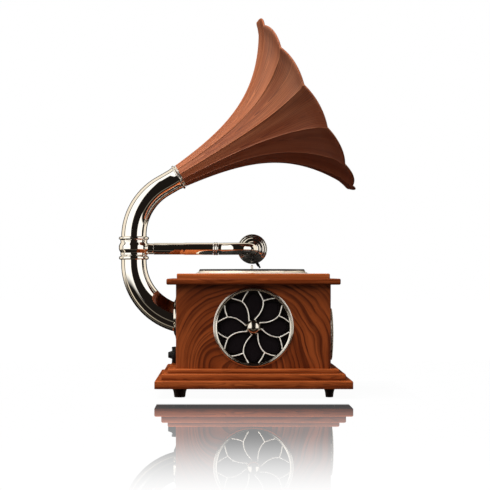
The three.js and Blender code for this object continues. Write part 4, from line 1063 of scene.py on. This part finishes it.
cut_with(guard_piece, cutter)
pearl_sizes = {"Pearls": 100, "Ring radius": guard_radius - 1.0, "Pearl radius": 0.85}
pearls = grow("front_guard_pearls", pearl_sizes, pearl_edge, GRILLE_CHROME)
mesh_on_wall(pearls, FRONT, FRONT_GRILLE_HEIGHT, 5.3)
add("front_guard_pearls", pearls, "root", None)


# Tube line


def bend(centre_x, centre_z, radius, start, end, steps, size):
    """Stations round a bend in the XZ plane. Size gives the tube's radius at a share of the way."""
    stations = []
    way = 1 if end > start else -1
    for share in np.linspace(0, 1, steps + 1):
        angle = math.radians(start + (end - start) * share)
        outward = np.array([math.cos(angle), 0, math.sin(angle)])
        centre = np.array([centre_x, 0, centre_z]) + radius * outward
        stations.append((centre, np.array([0.0, way, 0.0]), outward, size(share)))
    return stations


def radii(first, second):
    """The radius at a share of the way from one diameter to another."""
    return lambda share: (first + (second - first) * share) / 2


lower_size = radii(TUBE_DIAMETER, LOWER_TUBE_END)
lower = bend(LOWER_CENTRE_X, LOWER_BEND_HEIGHT, LOWER_BEND_RADIUS, 180, 270, 48, lower_size)
lower.insert(0, (np.array([COUPLER_X, 0, LOWER_BEAD[1] - 2]), *lower[0][1:]))
bore = LOWER_TUBE_END / 2 - TUBE_WALL
flange_length = INNER - FIT + LOWER_CENTRE_X
flange = turned([(bore, 0, 0), (21, 0, 0.4), (21, flange_length, 0.4), (bore, flange_length, 0)])
flange = oriented(flange, (FIT - INNER, 0, TUBE_END_HEIGHT), (0, 1, 0), (1, 0, 0))
lower = together(tube(lower, TUBE_WALL), flange)
add("lower_bent_tube", lower, "root", CHROME, ["lower_elbow"])

plate_radius = 25.4
escutcheon = turned([
    (13, 0.1, 0), (plate_radius, 0.1, 0), (plate_radius, 1.4, 0.8),
    (plate_radius - 2.2, 2.0, 0.8), (plate_radius * 0.78, 2.6, 2),
    (plate_radius * 0.66, 4.2, 2), (13, 4.6, 0.5),
], 128)
escutcheon = on_wall(escutcheon, REAR, TUBE_END_HEIGHT + 1.6)
add("tube_escutcheon", escutcheon, "root", CHROME, ["escutcheon"])


def upright(corners):
    """A piece turned about the swivel's axis."""
    points, faces = turned(corners, 128)
    return points + np.array([COUPLER_X, 0, 0]), faces


bead = upright([
    (7.7, LOWER_BEAD[1] - 1.7, 0), (13.8, LOWER_BEAD[1] - 1.7, 0), (13.8, LOWER_BEAD[0], 0),
    (14.6, LOWER_BEAD[0], 0.3), (15.8, LOWER_BEAD[0] + 0.9, 0.9),
    (15.8, LOWER_BEAD[0] + 3.1, 0.9), (14.4, LOWER_BEAD[1] - 0.7, 0.5),
    (14.0, LOWER_BEAD[1], 0.2), (9.7, LOWER_BEAD[1], 0), (9.7, UPPER_BEAD[1] + 4, 0.3),
    (7.7, UPPER_BEAD[1] + 4, 0.3),
])
add("swivel_lower_bead", bead, "root", CHROME, ["swivel_spigot"])

upper_turn = 180 - (90 - math.degrees(HORN_TILT))
upper_size = radii(TUBE_DIAMETER, UPPER_TUBE_END)
upper = bend(
    UPPER_CENTRE_X, UPPER_BEND_HEIGHT, UPPER_BEND_RADIUS, 180, upper_turn, 48, upper_size
)
upper.insert(0, (np.array([COUPLER_X, 0, UPPER_BEAD[1] + 0.1]), *upper[0][1:]))
tilt_way = np.array([math.cos(HORN_TILT), 0, math.sin(HORN_TILT)])
bend_end = upper[-1][0]
for share in np.linspace(0.1, 1, 10):
    gain = UPPER_FLARE * max(0, share - UPPER_FLARE_START) / (1 - UPPER_FLARE_START)
    reach = share * (UPPER_STRAIGHT - FIT)
    upper.append((bend_end + tilt_way * reach, *upper[-1][1:3], UPPER_TUBE_END / 2 + gain))
add("upper_bent_tube", tube(upper, TUBE_WALL), "horn_assembly", CHROME, ["upper_elbow"])

collar = upright([
    (10.0, UPPER_BEAD[0], 0), (14.9, UPPER_BEAD[0], 0.4), (16.05, UPPER_BEAD[0] + 0.9, 0.9),
    (16.05, UPPER_BEAD[1] - 0.9, 0.9), (14.7, UPPER_BEAD[1], 0.4), (11.4, UPPER_BEAD[1], 0),
    (11.4, UPPER_BEAD[1] + 6, 0.2), (10.0, UPPER_BEAD[1] + 6, 0.2),
])
add("swivel_upper_bead", collar, "horn_assembly", CHROME, ["upper_collar"])


def tilted(tilt):
    """The X and Z axes of a piece whose own axis rises by tilt towards the front."""
    return (math.sin(tilt), 0, -math.cos(tilt)), (math.cos(tilt), 0, math.sin(tilt))


throat_place = bend_end + tilt_way * UPPER_STRAIGHT
ring = turned([
    (8.6, -7, 0.2), (10.0, -7, 0.2), (10.0, 0, 0), (12.5, 0, 0.3), (13.9, 0.6, 0.8),
    (13.9, 2.1, 0.8), (12.6, 2.5, 0.2), (11.7, 2.7, 0.1), (11.7, 3.4, 0.1), (12.7, 3.5, 0.2),
    (12.7, 4.2, 0.2), (10.0, 4.2, 0), (10.0, 11.2, 0.2), (8.6, 11.2, 0.2),
], 128)
ring = oriented(ring, throat_place, *tilted(HORN_TILT))
add("horn_throat_ring", ring, "horn_assembly", CHROME, ["horn_ring"])


# Horn


def horn_bell(graph, size, _):
    """A flared shell of hollow petals that meet in ridges. The grid's columns go round the axis,
    closer together at the seams. Its rows go from the throat over the outside to the rolled rim,
    and back down the inside."""
    columns, rows = size["Columns"], size["Rows"]
    grid = graph.geometry("MeshGrid", Size_X=1.0, Size_Y=1.0, Vertices_X=columns, Vertices_Y=rows)
    x, y, _ = parts(graph.geometry("InputPosition"))
    turns = (x + 0.5) * size["Petals"]
    petal = maths("FLOOR", turns)
    even = (turns - petal) * 2 - 1
    across = maths("SIGN", even) * (1 - maths("MAXIMUM", 1 - abs(even), 0.0) ** SEAM_CROWDING)
    path = y + 0.5
    rim_start, rim_end = 0.47, 0.53
    to_rim = maths("MINIMUM", maths("MINIMUM", path, 1 - path) / rim_start, 1.0)
    first = (RING_THICKNESS + FIT) / size["Length"]
    share = first + (1 - first) * (1 - (1 - to_rim) ** RIM_CROWDING)
    arc = graph.value("ShaderNodeMapRange", None, {0: path, 1: rim_start, 2: rim_end, 4: math.pi})
    s = share * size["Length"]
    grown = maths("EXPONENT", s / size["Flare length"])
    widening = HORN_MOUTH - HORN_THROAT - HORN_SLOPE * HORN_LENGTH
    gain = widening / math.expm1(HORN_LENGTH / HORN_FLARE)
    lip = step(share, 0.965, 1.0) * size["Lip"]
    radius = HORN_THROAT + s * HORN_SLOPE + gain * (grown - 1) + lip
    slope = HORN_SLOPE + gain * grown / size["Flare length"]
    normal = 1 / maths("SQRT", slope * slope + 1)
    crown = 1 - across * across
    rise = step(share, 0.3, 1.0)
    flat = 1 - math.cos(math.pi / HORN_PETALS)
    seam = step(abs(across), 0.955, 0.985) * size["Seam height"]
    curl = step(share, 0.92, 1.0)
    hollow = (radius * flat + size["Petal hollow"] * rise) * (1 - curl)
    lifted = radius + (size["Rim rise"] * curl - hollow) * crown + seam
    reach = size["Petal reach"] * crown * share**8
    swell = step(share, 0.986, 0.994) * size["Rim bead"]
    half_wall = size["Wall"] * 0.5
    thick = half_wall + swell
    inwards = half_wall - thick * maths("COSINE", arc)
    forwards = thick * maths("SINE", arc)
    r = lifted - inwards * normal + forwards * slope * normal
    z = s + reach + inwards * slope * normal + forwards * normal
    angle = (petal * 2 + across) * math.pi / size["Petals"]
    place = vector(r * maths("COSINE", angle), r * maths("SINE", angle), z)
    chart = vector(petal + (across + 1) * 0.5, share + (path > 0.5) * 2, 0.0)
    mapped = graph.value(
        "GeometryNodeStoreNamedAttribute",
        {"data_type": "FLOAT2", "domain": "CORNER"},
        {"Geometry": grid, "Name": "petals", "Value": chart},
    )
    bent = graph.geometry("SetPosition", Geometry=mapped, Position=place)
    return graph.geometry("MergeByDistance", Geometry=bent, Distance=0.002)


horn_sizes = {
    "Petals": HORN_PETALS,
    "Columns": HORN_PETALS * 18 + 1,
    "Rows": 130,
    "Length": HORN_LENGTH - 1.0,
    "Flare length": HORN_FLARE,
    "Lip": 4.3,
    "Petal hollow": 0.6,
    "Rim rise": 1.4,
    "Petal reach": 3.3,
    "Seam height": 0.45,
    "Rim bead": 0.35,
    "Wall": 1.3,
}
bell = grow("horn_petals", horn_sizes, horn_bell, HORN)
moved(bell, lambda points: oriented((points, None), throat_place, *tilted(BELL_TILT))[0])
add("horn_petals", bell, "horn_assembly", None, ["horn_bell"], 50)


# Arm and sound box

sleeve_middle = (SLEEVE[0] + SLEEVE[1]) / 2
sleeve = upright([
    (10.0, SLEEVE[0], 0), (14.5, SLEEVE[0], 0.4), (14.1, SLEEVE[0] + 2.4, 1.6),
    (16.0, sleeve_middle - 2.2, 3), (16.0, sleeve_middle + 2.2, 3),
    (14.1, SLEEVE[1] - 2.4, 1.6), (14.5, SLEEVE[1], 0.4), (10.0, SLEEVE[1], 0),
])
stub = rod(11.6, (COUPLER_X + 12.5, 0, ARM_HEIGHT), (STUB_END, 0, ARM_HEIGHT), 0.2)
pin = rod(8.8, (STUB_END - 1, 0, ARM_HEIGHT), (STUB_END + 8, 0, ARM_HEIGHT), 0.3)
add("arm_sleeve", together(sleeve, stub, pin), "arm", CHROME, ["tonearm_sleeve"])


def lengthwise(corners, x):
    """A piece turned about the arm's axis, its heights counted from x."""
    return oriented(turned(corners), (x, 0, ARM_HEIGHT), (0, 1, 0), (1, 0, 0))


arm_length = ARM_END - STUB_END - FIT
arm_tube = lengthwise([
    (4.7, 0, 0), (6.15, 0, 0.3), (6.15, 31.4, 8), (6.45, 33.6, 8), (6.45, arm_length, 0.3),
    (4.7, arm_length, 0),
], STUB_END + FIT)
add("arm_tube", arm_tube, "arm", CHROME, ["tonearm_tube"])
collar_start = ARM_END + FIT
arm_collar = lengthwise([
    (3.0, -8, 0), (4.4, -8, 0.3), (4.4, 0, 0), (6.2, 0, 0.3), (6.8, 0.8, 0.6), (6.8, 1.9, 0.5),
    (6.3, 2.6, 0.4), (6.8, 3.3, 0.5), (6.8, 4.4, 0.6), (6.2, 5.2, 0.3), (4.4, 5.2, 0),
    (4.4, 13.2, 0.3), (3.0, 13.2, 0),
], collar_start)
add("arm_collar", arm_collar, "arm", CHROME, ["tonearm_collar"])

neck_start = collar_start + 5.2 + FIT
# Radius of a curve, the heading at its end counted from the arm's own, and a straight's length
NECK_CURVES = [(0, 0, 2.5), (9, -30, 0), (0, -30, 6.2), (15.86, 90, 0)]


def neck_path():
    """Places and headings along the gooseneck: it swings out to the camera and curls away."""
    place, heading = np.array([neck_start, 0.0]), 0.0
    path = [(place, heading)]
    for radius, turn_to, straight in NECK_CURVES:
        steps = 3 if straight else max(6, round(abs(turn_to - heading) / 4))
        first = heading
        length = straight if straight else radius * math.radians(abs(turn_to - heading))
        for i in range(steps):
            middle = math.radians(first + (turn_to - first) * (i + 0.5) / steps)
            place = place + length / steps * np.array([math.cos(middle), math.sin(middle)])
            path.append((place, first + (turn_to - first) * (i + 1) / steps))
        heading = turn_to
    return path


path = neck_path()
miss = np.array([SOUNDBOX_X, GOOSENECK_BEND]) - path[-1][0]
neck = []
for i, (place, heading) in enumerate(path):
    turn = math.radians(heading)
    outward = np.array([math.sin(turn), -math.cos(turn), 0])
    x, y = place + miss * i / (len(path) - 1)
    neck.append((np.array([x, y, ARM_HEIGHT]), outward, np.array([0, 0, 1.0]), NECK_RADIUS))
add("gooseneck_tube", tube(neck, 1.75), "sound_head", CHROME, ["gooseneck"])


def on_soundbox(shape):
    """Puts a shape on the sound box, with Z pointing away from the camera, and Y down."""
    return oriented(shape, (SOUNDBOX_X, GOOSENECK_BEND + FIT, ARM_HEIGHT), (1, 0, 0), (0, 1, 0))


rim_radius = SOUNDBOX_RADIUS - 2.4
case = turned([
    (0, 0, 0), (7.45, 0, 0.4), (8.4, 1.4, 0.8), (rim_radius - 2.4, 2.0, 0.8),
    (rim_radius - 1.6, 3.1, 0.6), (rim_radius, 3.3, 0.4), (rim_radius + 0.5, 4.5, 0.4),
    (SOUNDBOX_RADIUS - 0.2, 4.7, 0.6), (SOUNDBOX_RADIUS, SOUNDBOX_DEPTH, 0.6),
    (rim_radius + 0.6, SOUNDBOX_DEPTH, 0.2), (rim_radius + 0.6, 5.6, 0), (rim_radius - 2, 5, 0),
    (0, 4, 0),
], 128)
add("sound_box", on_soundbox(case), "sound_head", CHROME, ["soundbox_case"])
retainer = turned([
    (rim_radius - 2.2, 6.8, 0), (rim_radius + 0.3, 6.8, 0), (rim_radius + 0.3, 9.4, 0.3),
    (rim_radius - 1, 9.4, 0.5), (rim_radius - 2.2, 8.4, 0.4),
], 128)
add("sound_box_ring", on_soundbox(retainer), "sound_head", CHROME, ["soundbox_ring"])


def ripples(height):
    """Half of a corrugated sheet's outline, from its flat edge to its middle."""
    shares = np.linspace(1, 0, 40)
    return [(14 * s, height + 0.22 * math.sin(s * 26) * (s < 0.85)) for s in shares]


diaphragm = on_soundbox(turn_outline([*ripples(6.2), *ripples(5.9)[::-1]]))
add("sound_box_diaphragm", diaphragm, "sound_head", STEEL, ["soundbox_diaphragm"])

BAR_HEIGHT = SOUNDBOX_DEPTH + 0.4 + FIT + 1
lean = math.radians(34)
needle_top = np.array([4.6, 14.5, BAR_HEIGHT])
needle_way = np.array([math.sin(lean), math.cos(lean), 0])
needle_end = needle_top + NEEDLE_LENGTH * needle_way
lever = together(
    rod(2.0, (0, 0, BAR_HEIGHT), needle_top, 0.4),
    rod(2.6, (0, 0, 6.8), (0, 0, BAR_HEIGHT + 1), 0.4),
    rod(3.0, needle_top - needle_way * 0.6, needle_top + needle_way * 4.6, 0.5),
    rod(1.9, needle_top + needle_way * 4.2, needle_end - needle_way * 0.4, 0.5, 24),
    rod(1.6, needle_top, needle_top + np.array([0, 0, 1.3]), 0.3, 24),
)
add("needle_lever", on_soundbox(lever), "sound_head", BLACK, ["needle_bar"])


# Platter

platter = turned([
    (8.3, PLATTER_BOTTOM, 0), (59.5, PLATTER_BOTTOM, 0.15), (59.4, 126.7, 0.15),
    (56.8, 127.95, 0.2), (56.6, 128.8, 0.1), (3.3, 128.8, 0), (3.3, 127.6, 0), (8.3, 127.6, 0),
], 160)
add("platter_base", platter, "turntable", SATIN_NICKEL, ["platter"])
mat = [(1.6, 128.8, 0), (56.5, 128.8, 0.1), (55.6, MAT_TOP, 0.5), (1.6, MAT_TOP, 0.1)]
add("platter_ribbed_mat", turned(mat, 160), "turntable", MAT, ["platter_mat"])
spindle = turned([
    (0, 109, 0), (3, 109, 0.4), (3, 111.4, 0), (2.2, 111.4, 0), (2.2, 113, 0), (3, 113, 0),
    (3, PLATTER_BOTTOM, 0), (8, PLATTER_BOTTOM, 0.1), (8, 127.3, 0.2), (3, 127.3, 0),
    (3, 128.5, 0.2), (1.3, 128.5, 0), (1.3, 134.2, 0.8), (0.6, 135.1, 0.5), (0, 135.1, 0),
], 64)
add("platter_spindle", spindle, "turntable", CHROME, ["spindle"])


# Knob and connector


def knob_flutes(graph, size, _):
    """Ribs round the knob's skirt, for grip."""
    ring = graph.geometry("MeshCircle", Vertices=size["Ribs"], Radius=size["Ring radius"])
    cone = {"Vertices": 10, "Radius Top": 0.3, "Radius Bottom": size["Rib radius"]}
    cone["Depth"] = size["Length"]
    bar = graph.value("GeometryNodeMeshCone", {"fill_type": "NGON"}, cone)
    turn = graph.geometry("InputIndex") * (2 * math.pi) / size["Ribs"]
    lean = vector(0.0, size["Lean"], turn)
    return graph.geometry("InstanceOnPoints", Points=ring, Instance=bar, Rotation=lean)


knob = turned([
    (2.3, 0.3, 0), (8.6, 0.3, 0.2), (8.6, 3.9, 0.5), (7.8, 5.3, 0.6), (5.0, 5.8, 0.5),
    (4.1, 6.8, 0.6), (3.3, 9.4, 0.6), (2.9, 10.4, 0.5), (0, 10.4, 0), (0, 8.1, 0),
    (2.3, 8.1, 0),
])
add("knob", on_wall(knob, REAR, KNOB_HEIGHT), "knob", BLACK, ["volume_knob"])
rib_sizes = {"Ribs": 26, "Ring radius": 8.5, "Rib radius": 0.55, "Length": 4.0, "Lean": -0.06}
flutes = grow("knob_ribs", rib_sizes, knob_flutes, BLACK)
mesh_on_wall(flutes, REAR, KNOB_HEIGHT, 2.5)
add("knob_ribs", flutes, "knob", None)

socket = turned([
    (3.2, 0.8, 0.2), (5.6, 0.8, 0.3), (6.0, 0.3, 0.1), (4.5, 0.3, 0), (4.5, -12.5, 0.3),
    (0, -12.5, 0), (0, -11, 0), (3.2, -11, 0),
])
socket = on_wall(socket, REAR, KNOB_HEIGHT, INLET_OFFSET)
add("power_socket", socket, "root", BLACK, ["power_inlet"])
contact = turned([(0, -11.4, 0), (0.9, -11.4, 0), (0.9, -2.4, 0.5), (0, -2.4, 0)], 32)
contact = on_wall(contact, REAR, KNOB_HEIGHT, INLET_OFFSET)
add("power_socket_contact", contact, "root", STEEL)


# Finishes of the CAD nodes

CAD_FINISHES = (
    (WALLS, "near_wall far_wall front_wall rear_wall"),
    (CLOTH, "near_grille_cloth far_grille_cloth"),
    (STEEL, "near_driver_frame far_driver_frame front_driver_frame"),
    (STEEL, "volume_control volume_shaft amplifier_bracket spindle_clip"),
    (PAPER, "near_driver_cone far_driver_cone front_driver_dome"),
    (FERRITE, "near_driver_magnet far_driver_magnet front_driver_magnet horn_driver"),
    (CIRCUIT, "amplifier_board"),
    (BRASS, "platter_bush"),
)
for material, nodes in CAD_FINISHES:
    for node in nodes.split():
        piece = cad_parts[node]
        if not piece.material_slots:
            piece.data.materials.append(material)
        for material_slot in piece.material_slots:
            material_slot.material = material


# Stage

WHITE = (1, 1, 1)
FLOOR_REACH = 6
corners = [(x * FLOOR_REACH, y * FLOOR_REACH, 0) for x, y in ((-1, -1), (1, -1), (1, 1), (-1, 1))]
floor_mesh = new_mesh("floor", corners, faces=[(0, 1, 2, 3)])
floor = put("floor", floor_mesh)

# Seen by the camera the floor is white, and mirrors the object softly near its foot. Metal sees
# through it to the studio's own lower half.
floor_finish = Finish("white_floor")
floor_finish.set(Base_Color=(0.12, 0.12, 0.12), Roughness=0.5, Specular_IOR_Level=0.0)
seen = floor_finish.ray("Camera")
x, y, _ = parts(floor_finish.value("ShaderNodeTexCoord", None, None, "Object"))
away = maths("MAXIMUM", abs(x - MIDDLE_X), abs(y))
brightness = mix(step(away, 0.4, 1.2), (0.94, 0.94, 0.94), WHITE)
glow = floor_finish.value("ShaderNodeEmission", None, {"Color": brightness, "Strength": 1.2})
white = maths("MINIMUM", seen + floor_finish.ray("Transmission"), 1.0) * 0.86
pale = {0: white, 1: floor_finish.plain, 2: glow}
pale = floor_finish.value("ShaderNodeMixShader", None, pale)
polish = {"Color": (*WHITE, 1), "Roughness": 0.0}
polish = floor_finish.value("ShaderNodeBsdfGlossy", None, polish)
falling = 0.94 - step(away, 0.18, 0.42, 0.0, 0.2) - step(away, 0.42, 0.85, 0.0, 0.74)
sheen = falling * step(away, 0.158, 0.176) * seen
top = floor_finish.value("ShaderNodeMixShader", None, {0: sheen, 1: pale, 2: polish})
clear = floor_finish.value("ShaderNodeBsdfTransparent")
whole = {0: floor_finish.ray("Glossy"), 1: top, 2: clear}
whole = floor_finish.value("ShaderNodeMixShader", None, whole)
floor_finish.tree.links.new(whole.socket, floor_finish.output.inputs[0])
floor_mesh.materials.append(floor_finish.material)

world = bpy.data.worlds.new("studio")
bpy.context.scene.world = world
world.use_nodes = True
world.node_tree.nodes.clear()
studio = Graph(world.node_tree)
# What metal mirrors: white cards round the upper half with dark gaps between them, and black
# cloth with pale strips in the lower half. X points to the front and Y away from the camera.
BLACK_CLOTH = (0.012, 0.0095, 0.008)
x, y, z = parts(studio.value("ShaderNodeTexCoord", None, None, "Generated"))
near_gap = step(abs(x - 0.06), 0.46, 0.5, 1.0, 0.0) * step(y, 0.16, 0.1)
far_gap = step(y, 0.71, 0.77)
left_gap = step(y, -0.09, -0.05) * step(y, 0.11, 0.07) * step(x, -0.4, -0.5)
right_gap = step(y, -0.21, -0.17) * step(y, 0.19, 0.15) * step(x, 0.4, 0.5)
dark = maths("MINIMUM", near_gap + far_gap + left_gap + right_gap, 1.0)
cards = mix(step(y, 0.05, 0.2), (1.3, 1.28, 1.24), (1.0, 0.9, 0.75))
upper_half = mix(dark, cards, BLACK_CLOTH)
strips = step(abs(y - 0.04), 0.11, 0.07)
strips = strips + step(abs(y - 0.4), 0.04, 0.02) * 0.5
strips = strips + step(abs(y + 0.76), 0.05, 0.02) * 0.25
strips = strips * step(z, -1.0, -0.45, 0.25, 1.0)
lower_half = mix(strips, BLACK_CLOTH, (0.9, 0.79, 0.62))
horizon = step(z, step(x, -0.1, 0.1, -0.1, -0.16), step(x, -0.1, 0.1, -0.32, -0.22))
mirrored = mix(horizon, upper_half, lower_half)
colour = mix(studio.ray("Glossy"), (0.1, 0.1, 0.1), mirrored)
straight = studio.ray("Camera") + studio.ray("Transmission") + studio.ray("Singular")
colour = mix(maths("MINIMUM", straight, 1.0), colour, WHITE)
back = studio.value("ShaderNodeBackground", None, {"Color": colour, "Strength": 1.0})
studio.node("ShaderNodeOutputWorld", None, {0: back})


def soft_light(name, place, target, size, power):
    """A lamp that lights the object, but shows in no metal."""
    data = bpy.data.lights.new(name, "AREA")
    data.shape = "RECTANGLE"
    data.size, data.size_y = size
    data.energy = power
    light = put(name, data)
    light.location = place
    light.rotation_euler = (Vector(target) - Vector(place)).to_track_quat("-Z", "Y").to_euler()
    light.visible_glossy = False


soft_light("overhead_light", (-0.5, -0.3, 1.6), (0, 0, 0.2), (1.4, 1.0), 52)
soft_light("front_light", (-0.6, -1.4, 1.1), (0, 0, 0.2), (1.2, 1.0), 15)
soft_light("right_light", (1.2, -1.2, 0.9), (0, 0, 0.15), (0.8, 1.0), 3)

bpy.context.scene.view_settings.view_transform = "Standard"
